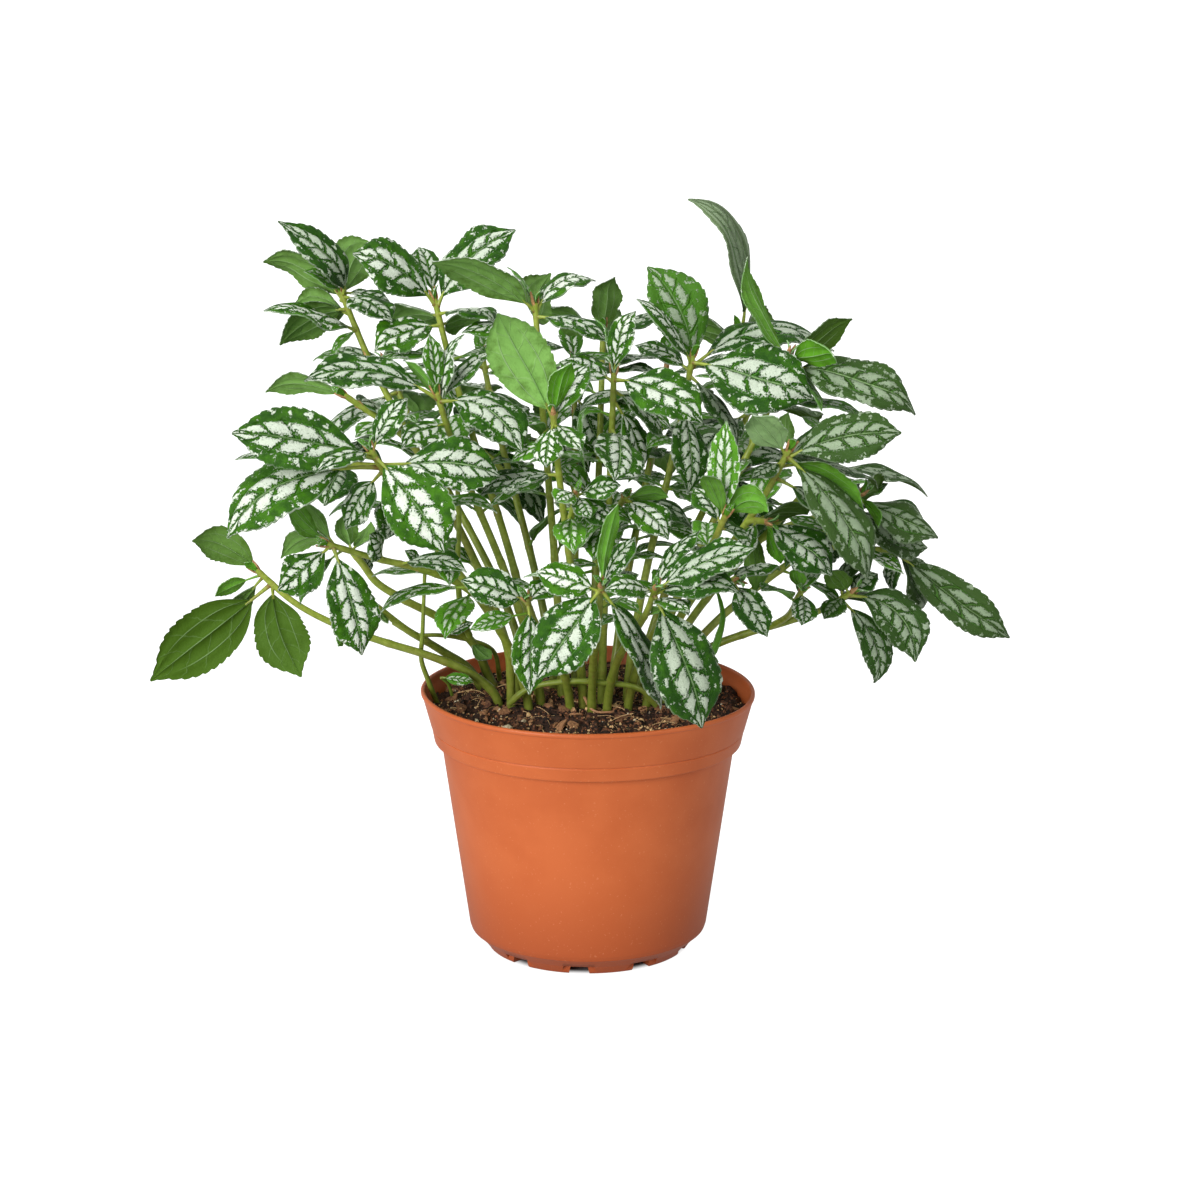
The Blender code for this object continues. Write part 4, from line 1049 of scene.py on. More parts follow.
# Thin side shoots, and single leaves at shoot tips, that the solids leave out, by the leafy stem that they
# belong to: points of the path from the soil up as the viewer sees them (right and up of the rim's middle,
# and real depth, in mm), radii at both ends in mm, youth, and leaves (place along the path, tip's offset in
# mm, width in mm, share of its face in view)
SIDE_SHOOTS = {
    "left_low": (
        (((-41, -3, 28), (-46, 8, 27), (-51.5, 20.5, 22), (-67.5, 33, 12), (-85.8, 42.6, 4), (-97, 50, 0),
          (-103, 58, -3), (-108, 64, -5)), (2.3, 1.5), 0.0,
         ((0.86, (-4, 9, 4), 7, 0.7), (1.0, (-3, 17, 6), 14, -0.7), (1.0, (10, 13, 8), 12, -0.6))),
        (((-117, 65, -66), (-119.5, 67.5, -66)), (1.2, 1.0), 0.6, ((1.0, (-18, 22, -16), 15, -0.75),)),
        (((-68, -8, 4), (-73, 5, 0), (-76, 14, -2), (-75.5, 26, -4), (-75, 39, -5), (-74.4, 56, -6)),
         (1.3, 0.8), 0.15, ((1.0, (-9, 8, -3), 7, 0.7), (1.0, (7, 9, -2), 7, -0.5))),
        (((-54, 25, 16), (-57, 32, 12), (-59, 46, 8), (-59.4, 60, 4), (-58.8, 78, 0), (-59.5, 92, -2)),
         (1.6, 1.1), 0.1, ((0.97, (10, 14, -4), 9, 0.6),)),
        (((-40, 4, 36), (-44, 19, 26), (-58, 24, 18), (-69, 25.4, 10), (-79, 25.6, 6), (-89, 31, 2)),
         (1.1, 0.9), 0.0, ((0.62, (12, 6, -4), 5.5, 0.85), (0.45, (10, -9, -6), 9, -0.8))),
    ),
    "far_left": (
        (((-47, -1, 24), (-56, 11.5, 18), (-65.5, 17.5, 14), (-74.5, 23, 9), (-81.5, 27, 5), (-89.5, 33, 1),
          (-95, 37.5, -3), (-100, 41, -6)), (2.2, 1.3), 0.0,
         ((0.95, (-5, -8, -2), 6, 0.6), (0.9, (3, -7, -4), 6, -0.4))),
        (((-62, -2, -2), (-64, 3.5, -6), (-67, 6, -9)), (0.8, 0.7), 0.5, ((1.0, (15, -2, -3), 6.5, 0.95),)),
    ),
    "upper_left": ((((-112.5, 178, 38), (-112, 182, 38)), (1.2, 1.0), 0.0, ((1.0, (24, -5, 6), 12, 0.6),)),),
    "upper_middle_left": (
        (((-70, 176, 24), (-70.5, 180, 24)), (1.2, 1.0), 0.1, ((1.0, (-7, 25, 8), 15, 0.8),)),
    ),
    "right_front": ((((92, 106, -42), (92.5, 110, -42)), (1.2, 1.0), 0.0, ((1.0, (-2, 17, 14), 14, -0.6),)),),
    "right_middle": ((((140, 63, 6), (142, 64, 6)), (1.2, 1.0), 0.0, ((1.0, (-4, -19, -4), 12, 0.6),)),),
    "front_middle": (
        (((-36, -6, -18), (-28, 0.5, -21), (-12, 4, -23), (8, 3.5, -24), (24, 0.5, -22), (31, -7, -18)),
         (1.5, 1.2), 0.1, ()),
    ),
}
# Tone and stalk of the leaves on side shoots, and how far apart their joints are in mm
SIDE_TONE = 0.6
SIDE_NECK = 0.12
SIDE_JOINT_STEP = 33
# Share of a stem's joints that keep their scales
SCALY_SHARE = 0.45
# Pebbles near the rim: place and size in mm; and a root that lies on the soil: its points in mm
PEBBLES = ((-45.6, -36, 2.3), (-35.6, -43, 2.8), (-29, -32, 2.0), (-50, -30, 1.7))
LOOSE_ROOT = (
    (-4, -2, 112), (-3, -8, 117), (-2, -13, 122), (-1, -17, 121), (0, -20, 118), (4, -23, 116),
    (9, -22, 116.5), (14, -20, 116), (17, -19, 114.5), (19, -18, 112.5),
)


def side_normal(way, share):
    """Upper face of a side shoot's leaf, which shows a share of itself to the viewer, or its underside."""
    normal = facing_normal(way, abs(share))
    return normal if share > 0 else -normal


def grow_side_shoot(growth, forms, placed, name, row, sizes, draw):
    """A thin shoot along its own path, with the few leaves at its end."""
    points, (low, high), youth, leaves = row
    path = [seen(*point) for point in points]
    radii = [radius * MM for radius in thicken(path, low, high)]
    length = path_length(path)
    joints = [joint * MM for joint in range(4, int(length / MM) - 4, SIDE_JOINT_STEP)]
    grow_stem(growth, path, radii, joints, youth)
    for share, offset, width, face in leaves:
        root = point_down(path, length * (1 - share))
        tip = seen(*(start + change for start, change in zip(viewed(root), offset)))
        normal = side_normal((tip - root).normalized(), face)
        blade = settle(placed, name, root, tip, normal, AHEAD, width, SIDE_NECK, (0, 0), True)
        if blade:
            grow_leaf(growth, forms["small"], blade, sizes, draw, youth, SIDE_TONE)


def viewed(point):
    """Where the viewer sees a point: right and up of the rim's middle, and its real depth, in mm."""
    away = point - Vector((0, 0, POT_HEIGHT))
    scale = 1 + away.dot(AHEAD) / VIEW_DISTANCE
    return away.dot(RIGHT) / scale / MM, away.dot(UP) / scale / MM, point.y / MM


def tone_from_painted_light(blade):
    """Painted light and shade by a leaf's place: leaves in the middle and at the front are bright and silvery
    as if lit, and those at the right are dull as if in shade.
    """
    aside = blade.tip.x / (170 * MM)
    return 0.72 - 0.7 * max(aside, 0) - 0.2 * max(-aside, 0) - 0.04 * max(blade.tip.y / (60 * MM), 0)


def inner_look_painted_light(index):
    """Youth and tone of a leaf inside the plant: greener than outside, painted brighter against the shade
    inside the plant, and each different.
    """
    share = index * 0.618 % 1
    return 0.3 + 0.5 * share, 1.0 - 0.3 * share


def scaly_joints(path, draw):
    """Places and ways of some joints of a stem that keep their papery scales."""
    found = []
    for index in range(1, len(path) - 1):
        if draw.random() < SCALY_SHARE:
            found.append((path[index], (path[index + 1] - path[index]).normalized()))
    return found


# Scales of the noise in the finishes: the leaves' broad and fine unevenness, their grain and loose spots, the
# stems' streaks and blush, and the scales' grain
COARSE_NOISE = 230.0
FINE_NOISE = 1250.0
GRAIN_NOISE = 620.0
SPOT_NOISE = 300.0
STREAK_NOISE = 420.0
BLUSH_NOISE = 45.0
PAPER_NOISE = 900.0
PLASTIC_SPECKS = 1300.0
# Heights in metres between which the stems and the pot turn darker: for the stems partly their own browner
# colour and partly painted shade, for the pot painted shade
STEM_BROWN_AND_SHADE = (0.185, 0.125)
POT_PAINTED_SHADE = (0.07, 0.0)


def add_node(tree, kind, values=None, **settings):
    """Adds a node with its settings, and with a value or a socket for each input by name or number."""
    node = tree.nodes.new("ShaderNode" + kind)
    for name, setting in settings.items():
        setattr(node, name, setting)
    for name, value in (values or {}).items():
        if isinstance(value, bpy.types.NodeSocket):
            tree.links.new(value, node.inputs[name])
        else:
            node.inputs[name].default_value = value
    return node


class Signal:
    """A value in a node tree that can be worked with like a number."""

    def __init__(self, tree, socket):
        self.tree = tree
        self.socket = socket

    def work(self, operation, *others):
        values = [value.socket if isinstance(value, Signal) else value for value in (self, *others)]
        node = add_node(self.tree, "Math", dict(enumerate(values)), operation=operation)
        return Signal(self.tree, node.outputs[0])

    def __add__(self, other):
        return self.work("ADD", other)

    def __sub__(self, other):
        return self.work("SUBTRACT", other)

    def __mul__(self, other):
        return self.work("MULTIPLY", other)

    def under(self, start):
        """start minus this value."""
        return self.work("MULTIPLY_ADD", -1.0, start)

    def rise(self, low, high):
        """0 up to low and 1 from high on, smoothly; the other way round where high is the lower."""
        falling = float(high < low)
        values = {
            "From Min": min(low, high), "From Max": max(low, high), "To Min": falling,
            "To Max": 1.0 - falling, "Value": self.socket,
        }
        node = add_node(self.tree, "MapRange", values, interpolation_type="SMOOTHSTEP")
        return Signal(self.tree, node.outputs["Result"])


def texture_noise(tree, place, scale, detail=2.0, rough=0.5):
    """Noise between 0 and 1 at a place."""
    values = {"Vector": place, "Scale": scale, "Detail": detail, "Roughness": rough}
    return Signal(tree, add_node(tree, "TexNoise", values).outputs["Fac"])


def mark(tree, name):
    """The value that a piece's points carry under a name."""
    return Signal(tree, add_node(tree, "Attribute", attribute_name=name).outputs["Fac"])


def mixed(tree, share, first, second):
    """A colour between two, each a socket or a plain colour."""
    values = {0: share.socket}
    for slot, colour in ((6, first), (7, second)):
        values[slot] = colour if isinstance(colour, bpy.types.NodeSocket) else (*colour, 1)
    return add_node(tree, "Mix", values, data_type="RGBA").outputs[2]


def object_place(tree):
    """A surface's place in its piece."""
    return add_node(tree, "TexCoord").outputs["Object"]


def new_finish(name, roughness, colour, gloss=0.5):
    """A material with its Principled shader, ready for its nodes."""
    made = bpy.data.materials.new(name)
    made.use_nodes = True
    shader = made.node_tree.nodes["Principled BSDF"]
    shader.inputs["Roughness"].default_value = roughness
    shader.inputs["Specular IOR Level"].default_value = gloss
    shader.inputs["Base Color"].default_value = (*colour, 1)
    made.diffuse_color = (*colour, 1)
    return made, made.node_tree, shader


def colour_and_raise(tree, shader, colour, height, distance, strength):
    """Gives a finish its colour and its fine relief."""
    tree.links.new(colour, shader.inputs["Base Color"])
    bump = add_node(tree, "Bump", {"Distance": distance, "Strength": strength, "Height": height.socket})
    tree.links.new(bump.outputs["Normal"], shader.inputs["Normal"])


def part_of(tree, place, axis):
    """One of a place's three numbers, by its axis."""
    return Signal(tree, add_node(tree, "SeparateXYZ", {0: place}).outputs[axis])


def make_effect(name, inputs, outputs, work):
    """An effect with its named sockets, made once: work gives its outputs from the tree and the inputs."""
    if name in bpy.data.node_groups:
        return bpy.data.node_groups[name]
    group = bpy.data.node_groups.new(name, "ShaderNodeTree")
    for label, kind in inputs:
        group.interface.new_socket(name=label, in_out="INPUT", socket_type=kind)
    for label in outputs:
        group.interface.new_socket(name=label, in_out="OUTPUT", socket_type="NodeSocketFloat")
    given = group.nodes.new("NodeGroupInput").outputs
    out = group.nodes.new("NodeGroupOutput").inputs
    for signal, slot in zip(work(group, given), out):
        group.links.new(signal.socket, slot)
    return group


def use_effect(tree, group, **values):
    """Adds an effect to a finish, at its place; gives its results by name."""
    node = add_node(tree, "Group", {"Place": object_place(tree), **values}, node_tree=group)
    return {output.name: Signal(tree, output) for output in node.outputs}


def vein_values(group, given):
    """The three long veins and the slanting cross veins of a blade, from its own flat map."""
    across = part_of(group, given["Map"], "X") * 2.0 - 1.0
    share = part_of(group, given["Map"], "Y")
    seed = Signal(group, given["Seed"])
    reach = across.work("ABSOLUTE")
    coarse = texture_noise(group, given["Place"], COARSE_NOISE) - 0.5
    fine = texture_noise(group, given["Place"], FINE_NOISE, 3.0, 0.7) - 0.5
    place = share - reach * CROSS_VEIN_SLANT + coarse * 0.09
    cells = place * 3.2 + place * place * 2.2 - 0.17
    cells = cells * (seed * 0.3 + 0.85) + across.work("GREATER_THAN", 0.0) * 0.34 + seed * 0.5
    part = cells.work("FRACT")
    cross = part.work("MINIMUM", part.under(1.0))
    midrib = reach.rise(0.032, 0.012) * share.rise(1.0, 0.6)
    aside = (reach - (share * -0.1 + LATERAL_VEIN + 0.04)).work("ABSOLUTE")
    side_ribs = aside.rise(0.03, 0.008) * share.rise(0.85, 0.55)
    return reach, share, midrib, side_ribs, cross, coarse, fine


def vein_effect():
    """The veins as an effect that both faces of a leaf use."""
    inputs = (("Map", "NodeSocketVector"), ("Place", "NodeSocketVector"), ("Seed", "NodeSocketFloat"))
    outputs = ("Reach", "Share", "Midrib", "Side ribs", "Cross distance", "Coarse", "Fine")
    return make_effect("Leaf veins", inputs, outputs, vein_values)


def use_veins(tree, group):
    """Adds the veins to a finish, from the leaf's flat map and seed; gives their results by name."""
    flat = add_node(tree, "UVMap", uv_map="leaf").outputs["UV"]
    return use_effect(tree, group, Map=flat, Seed=mark(tree, "leaf_seed").socket)


def upper_face(veins, colours, silver_share):
    """The upper face: deep green with raised, ragged silver patches between the veins, and painted light and
    shade.
    """
    finish, tree, shader = new_finish("leaf upper face", 0.4, colours.deep_green, 0.15)
    part = use_veins(tree, veins)
    reach, share, cross, coarse, fine = (
        part[name] for name in ("Reach", "Share", "Cross distance", "Coarse", "Fine")
    )
    youth = mark(tree, "youth")
    # The leaf's tone: partly its own colour, partly painted light and shade
    tone = mark(tree, "tone")
    seed = mark(tree, "leaf_seed")
    # How far inside a patch a place is, in shares of the half-width, from the midrib, lateral and cross veins
    other_seed = (seed * 7.3).work("FRACT")
    inner = reach - (other_seed * 0.04 + 0.075)
    outer = (youth * -0.05 + share * -0.06 + (seed * 13.7).work("FRACT") * 0.06 + 0.45) - reach
    ends = (cross - (coarse * 0.5 + other_seed * 0.06 + 0.1)) * 0.8
    inside = inner.work("SMOOTH_MIN", outer, 0.06).work("SMOOTH_MIN", ends, 0.09)
    grain = texture_noise(tree, object_place(tree), GRAIN_NOISE) - 0.5
    ragged = fine * (youth * -0.2 + 0.5) + coarse * 0.12 + grain * 0.2
    patch = (inside + ragged + 0.03 - youth * 0.045).rise(0.014, 0.032)
    patch = patch * share.rise(0.015, 0.06)
    # Scattered spots between the lateral vein and the margin
    island = texture_noise(tree, object_place(tree), SPOT_NOISE, 1.0)
    level = 0.725 - 0.12 * silver_share
    spots = (island + fine * 0.6 + reach * 0.08 - cross * 0.12 + seed * 0.06).rise(level, level + 0.03)
    spots = spots * reach.rise(0.57, 0.62)
    frost = (fine + reach.rise(0.8, 1.0) * 0.2 + share.rise(0.82, 1.0) * 0.2).rise(0.31, 0.35)
    margin = (reach + fine * 0.05).rise(0.958, 0.972) * seed.rise(-0.4, 0.8)
    patch = patch * (fine.rise(0.11, 0.17) * 0.8).under(1.0)
    silver = patch.work("MAXIMUM", spots).work("MAXIMUM", frost * 0.7).work("MAXIMUM", margin * 0.4)
    # Below 0 the tone marks a leaf without patches
    silver = silver * tone.rise(-0.4, -0.1) * (youth * -0.35 + 1.0)

    # Greens with their own unevenness and with painted light and shade: a low tone darkens a leaf, a high
    # tone brightens it
    shade = coarse * 1.3 + fine * 0.5 + 0.2 + (tone - 0.5) * 0.9 + cross * reach.rise(0.62, 0.5) * 0.3
    shade = shade + reach.rise(0.45, 0.95) * 0.08
    green = mixed(tree, shade.rise(0.0, 1.0), colours.deep_green, colours.mid_green)
    # Low tones turn a leaf dull grey-green: partly its own dull colour, partly a painted grey sheen and shade
    green = mixed(tree, tone.rise(0.4, 0.0) * 0.6, green, colours.dull_green_and_sheen)
    pleats = (reach * 19.0).work("SINE") * 0.3 + fine + 0.5
    grey = mixed(tree, pleats.rise(0.1, 0.9) * 0.7 + 0.2, colours.dull_green_and_sheen, colours.silver_painted_shade)
    green = mixed(tree, tone.rise(-0.1, -0.4) * share.rise(0.0, 0.3), green, grey)
    green = mixed(tree, youth, green, colours.young_green)
    green = mixed(tree, part["Side ribs"] * 0.5, green, colours.vein_green)
    thin_veins = cross.rise(0.03, 0.008) * reach.rise(0.52, 0.46)
    green = mixed(tree, thin_veins * 0.45, green, colours.vein_green)
    # The silver is mixed from its copy in painted shade and its lit copy, by fine noise and by the leaf's
    # tone: painted light and shade
    glow = (fine * 0.7 + 0.5 + (tone - 0.5) * 0.9).rise(0.0, 1.0)
    bright = mixed(tree, glow, colours.silver_painted_shade, colours.silver)
    base = mixed(tree, silver, green, bright)
    base = mixed(tree, part["Midrib"] * (seed * 0.5 + 0.35), base, colours.rib_pale)
    rough = silver * 0.14 + 0.3 + fine * 0.14
    tree.links.new(rough.socket, shader.inputs["Roughness"])
    grooves = cross.rise(0.0, 0.12) * reach.rise(0.62, 0.5) + reach.rise(0.5, 0.62)
    height = silver * 0.4 + grooves * 0.8 + fine * 0.6 - part["Midrib"] * 0.3 - part["Side ribs"] * 0.6
    colour_and_raise(tree, shader, base, height, 1.1 * MM, 0.9)
    return finish


def under_face(veins, colours):
    """The underside: plain pale green with its veins standing out, and painted light, sheen and shade: paler
    on leaves with a high tone, darker towards the edges and the base.
    """
    finish, tree, shader = new_finish("leaf underside", 0.6, colours.under_green, 0.1)
    part = use_veins(tree, veins)
    tone = mark(tree, "tone")
    youth = mark(tree, "youth")
    # High tones paint the undersides pale, as painted light and sheen
    dull = mixed(tree, tone, colours.under_green, colours.under_pale)
    green = mixed(tree, youth, dull, colours.young_green)
    # Painted sheen and shade mixed with the green's own unevenness: darker towards the base and the edges,
    # paler along the middle
    patchy_sheen_and_shade = part["Coarse"] * 1.6 + part["Fine"] * 0.7 + part["Share"].rise(0.5, 0.0) * 0.25 + 0.05
    patchy_sheen_and_shade = patchy_sheen_and_shade + part["Reach"].rise(0.35, 1.0) * 0.35
    green = mixed(tree, patchy_sheen_and_shade.rise(0.0, 0.9) * 0.8, green, colours.under_green)
    green = mixed(tree, tone.rise(1.05, 1.4) * 0.5, green, colours.silver_painted_shade)
    cross = part["Cross distance"].rise(0.05, 0.01) * part["Reach"].rise(0.9, 0.6) * 0.35
    lines = part["Midrib"].work("MAXIMUM", part["Side ribs"]).work("MAXIMUM", cross)
    base = mixed(tree, lines * (tone * 0.35 + 0.35), green, colours.rib_pale)
    height = lines + part["Fine"] * 0.6 + part["Coarse"] * 0.9
    colour_and_raise(tree, shader, base, height, 0.5 * MM, 0.9)
    return finish


def stem_skin(colours):
    """Olive stems with lengthwise streaks, brown at their joints, and browner and darker near the soil,
    partly by painted shade from the leaves above.
    """
    finish, tree, shader = new_finish("stem skin", 0.36, colours.stem, 0.4)
    place = object_place(tree)
    streaks = texture_noise(tree, place, STREAK_NOISE)
    blush = texture_noise(tree, place, BLUSH_NOISE, 1.0)
    joint = mark(tree, "joint")
    youth = mark(tree, "youth")
    skin = mixed(tree, streaks.rise(0.2, 0.8), colours.stem, colours.stem_pale)
    skin = mixed(tree, youth, skin, colours.young_green)
    # Browner and darker near the soil: partly the stems' own colour, partly painted shade from the leaves
    # above
    low = (part_of(tree, place, "Z") + blush * 0.02).rise(*STEM_BROWN_AND_SHADE)
    skin = mixed(tree, low * 0.6, skin, colours.stem_low_brown_and_shade)
    skin = mixed(tree, blush.rise(0.55, 0.75) * 0.25, skin, colours.joint)
    skin = mixed(tree, (joint + streaks * 0.3 - 0.15).rise(0.15, 0.8) * 0.85, skin, colours.joint)
    colour_and_raise(tree, shader, skin, streaks, 0.15 * MM, 0.5)
    return finish


def papery_scale(colours):
    """Thin reddish-brown scales at the joints."""
    finish, tree, shader = new_finish("papery scale", 0.6, colours.scale)
    grain = texture_noise(tree, object_place(tree), PAPER_NOISE, 3.0)
    base = mixed(tree, grain.rise(0.3, 0.7), colours.scale, colours.scale_dark)
    colour_and_raise(tree, shader, base, grain, 0.2 * MM, 0.7)
    return finish


def speckle_values(group, given):
    """Fine specks, slow mottling and grain over a surface, from its place."""
    values = {0: given["Place"], "Scale": given["Size"]}
    place = add_node(group, "VectorMath", values, operation="SCALE").outputs["Vector"]
    specks = texture_noise(group, place, 0.85, 0.0).rise(0.74, 0.84)
    return specks, texture_noise(group, place, 0.035, 3.0), texture_noise(group, place, 1.0)


def speckle_effect():
    """The specks as an effect that the pot, the soil and its litter use."""
    inputs = (("Place", "NodeSocketVector"), ("Size", "NodeSocketFloat"))
    return make_effect("Specks and mottling", inputs, ("Specks", "Mottling", "Grain"), speckle_values)


def pot_plastic(speckle, colours):
    """Moulded plastic with a satin skin, fine pale specks and slightly uneven colour, and painted shade that
    darkens it towards its foot.
    """
    finish, tree, shader = new_finish("terracotta plastic", 0.45, colours.plastic, 0.3)
    part = use_effect(tree, speckle, Size=PLASTIC_SPECKS)
    base = mixed(tree, part["Mottling"].rise(0.3, 0.75), colours.plastic, colours.plastic_deep)
    height = part_of(tree, object_place(tree), "Z")
    # Painted shade: darker towards the foot
    low = (height + part["Mottling"] * 0.02).rise(*POT_PAINTED_SHADE)
    base = mixed(tree, low, base, colours.plastic_painted_shade)
    base = mixed(tree, part["Specks"] * 0.2, base, colours.plastic_speck)
    rough = part["Mottling"] * 0.15 + 0.34 + part["Specks"] * 0.15
    tree.links.new(rough.socket, shader.inputs["Roughness"])
    colour_and_raise(tree, shader, base, part["Grain"], 0.06 * MM, 0.5)
    return finish


def crumbly(name, speckle, dark, light, roughness=0.95, size=900.0, depth=0.5, accent=None):
    """Finishes of soil, bark, perlite and roots: uneven and rough, with an accent on a few pieces."""
    finish, tree, shader = new_finish(name, roughness, dark)
    part = use_effect(tree, speckle, Size=size)
    shade = mark(tree, "shade")
    amount = (part["Grain"] * 1.3 + shade * 0.7 - 0.5).rise(0.1, 0.9)
    base = mixed(tree, amount, dark, light)
    if accent:
        base = mixed(tree, shade.rise(0.8, 0.9), base, accent)
    colour_and_raise(tree, shader, base, part["Grain"], depth * MM, 0.9)
    return finish


def begin_piece(name):
    """Names the primitive that has just been added and opens it in edit mode."""
    made = bpy.context.object
    made.name = name
    made.data.name = name
    bpy.ops.object.mode_set(mode="EDIT")
    return made


def end_piece(made, finishes, angle=40):
    """Leaves edit mode, smooths the faces up to an angle and gives the piece its finishes."""
    if bpy.context.mode != "OBJECT":
        bpy.ops.object.mode_set(mode="OBJECT")
    bpy.ops.object.shade_smooth_by_angle(angle=math.radians(angle))
    made.data.materials.clear()
    for finish in finishes:
        made.data.materials.append(finish)
    return made


def softened(profile, size):
    """An outline with a small round at each bend, held by a point on either side of it."""
    rows = [profile[0]]
    for before, bend, after in zip(profile, profile[1:], profile[2:]):
        bend = Vector(bend)
        ends = []
        for other in (before, after):
            way = Vector(other) - bend
            reach = min(size, way.length * BEND_SHARE)
            ends.append((bend + way.normalized() * reach * BEND_HOLD, bend + way.normalized() * reach))
        (outer, near), (far_outer, far) = ends
        rows += [outer, near, (near + far + bend * 2) / 4, far, far_outer]
    return rows + [profile[-1]]


def turn_up(name, profile, sides):
    """A round piece drawn up ring by ring from the middle of its underside to the middle of its top."""
    deselect_all()
    radius, height = profile[0]
    bpy.ops.mesh.primitive_circle_add(
        vertices=sides, radius=radius, fill_type="TRIFAN", location=(0, 0, height)
    )
    bpy.ops.object.transform_apply(location=True)
    made = begin_piece(name)
    bpy.ops.mesh.select_all(action="DESELECT")
    bpy.ops.object.mode_set(mode="OBJECT")
    for vert in made.data.vertices:
        vert.select = math.hypot(vert.co.x, vert.co.y) > radius * 0.5
    for edge in made.data.edges:
        edge.select = all(made.data.vertices[corner].select for corner in edge.vertices)
    bpy.ops.object.mode_set(mode="EDIT")
    for (wide, low), (next_wide, high) in zip(profile, profile[1:]):
        bpy.ops.mesh.extrude_region_move(TRANSFORM_OT_translate={"value": (0, 0, high - low)})
        if abs(next_wide - wide) > 1e-6:
            factor = next_wide / wide
            bpy.ops.transform.resize(value=(factor, factor, 1), center_override=(0, 0, high))
    bpy.ops.mesh.edge_face_add()
    bpy.ops.mesh.poke()
    bpy.ops.mesh.select_all(action="SELECT")
    bpy.ops.mesh.normals_make_consistent(inside=False)
    bpy.ops.object.mode_set(mode="OBJECT")
    return made


def pot_radius(height):
    """Radius of the pot's outside at a height, in metres."""
    radii, heights = zip(*POT_OUTSIDE[::-1])
    return float(np.interp(height / MM, heights, radii)) * MM


def cut_away(piece, cutter):
    """Cuts one piece's shape out of another and removes the cutter."""
    cut = piece.modifiers.new("cut", "BOOLEAN")
    cut.operation = "DIFFERENCE"
    cut.solver = "EXACT"
    cut.object = cutter
    apply_modifiers(piece)
    bpy.data.objects.remove(cutter, do_unlink=True)


def joined(pieces):
    """Joins pieces into the first of them."""
    for piece in pieces:
        piece.select_set(True)
    bpy.context.view_layer.objects.active = pieces[0]
    bpy.ops.object.join()
    bpy.ops.object.transform_apply(location=True, rotation=True)
    return pieces[0]


def foot_wedges(inner, outer, width, height):
    """Cutters between two radii: a cube narrowed at its top, copied round the foot ring."""
    deselect_all()
    bpy.ops.mesh.primitive_cube_add(size=1, location=((inner + outer) / 2, 0, 0))
    first = bpy.context.object
    first.scale = (outer - inner, width, height * 2)
    bpy.ops.object.transform_apply(location=True, scale=True)
    for vert in first.data.vertices:
        if vert.co.z > 0:
            vert.co.y *= WEDGE_TAPER
    wedges = [first]
    for index in range(1, FOOT_COUNT):
        wedge = first.copy()
        wedge.data = first.data.copy()
        bpy.context.scene.collection.objects.link(wedge)
        wedge.rotation_euler.z = math.tau * index / FOOT_COUNT
        wedges.append(wedge)
    for wedge in wedges:
        wedge.rotation_euler.z += NOTCH_PHASE
    return joined(wedges)


def drain_cutters():
    """Cutters for the drain holes: rods through the pot's floor."""
    deselect_all()
    holes = []
    for index in range(DRAIN_HOLES):
        angle = math.tau * index / DRAIN_HOLES
        spot = (DRAIN_CIRCLE * math.cos(angle), DRAIN_CIRCLE * math.sin(angle), FLOOR_Z + FLOOR_THICKNESS / 2)
        bpy.ops.mesh.primitive_cylinder_add(vertices=24, radius=DRAIN_RADIUS, depth=6 * MM, location=spot)
        holes.append(bpy.context.object)
    return joined(holes)


def rim_lift(x, y, height):
    """How far a place of the rim stands up from where an even pot would have it."""
    toward = (x * RIM_LIFT_WAY[0] + y * RIM_LIFT_WAY[1]) / max(math.hypot(x, y), MM)
    share = min(max((toward + 0.35) / 1.1, 0), 1) * min(max((height - RIM_LIFT_FROM) / RIM_LIFT_SPAN, 0), 1)
    return RIM_LIFT * share * share * (3 - 2 * share)


def make_pot(sizes, finish):
    """The pot, drawn up from its foot ring over the lip and down its inner wall, with its cuts."""
    floor_top = FLOOR_Z + FLOOR_THICKNESS
    outside = [(radius * MM, height * MM) for radius, height in POT_OUTSIDE]
    inside = [(radius * MM, height * MM) for radius, height in POT_INSIDE]
    base = [
        (FOOT_INNER - 4 * MM, FLOOR_Z), (FOOT_INNER, FLOOR_Z), (FOOT_INNER + 0.4 * MM, 0), (FOOT_OUTER, 0),
    ]
    lip = [(radius * MM, POT_HEIGHT + rise * MM) for radius, rise in POT_LIP]
    wall = pot_radius(floor_top + 2 * MM) - WALL
    bend = 1.6 * MM
    lower_wall = [(wall, floor_top + bend), (wall - bend, floor_top), (FOOT_INNER, floor_top)]
    profile = softened(base + outside[::-1] + lip + inside + lower_wall, BEND_ROUND)
    pot = turn_up("pot_moulded", profile, sizes.sides)
    for vert in pot.data.vertices:
        vert.co.z += rim_lift(*vert.co)
    cut_away(pot, foot_wedges(FOOT_INNER - 3 * MM, FOOT_OUTER + 3 * MM, NOTCH_WIDTH, NOTCH_HEIGHT))
    skirt = FOOT_OUTER + 1.4 * MM - RECESS_DEPTH
    cut_away(pot, foot_wedges(skirt, skirt + 6 * MM, RECESS_WIDTH, RECESS_HEIGHT))
    cut_away(pot, drain_cutters())
    select_only(pot)
    return end_piece(pot, [finish], 48)


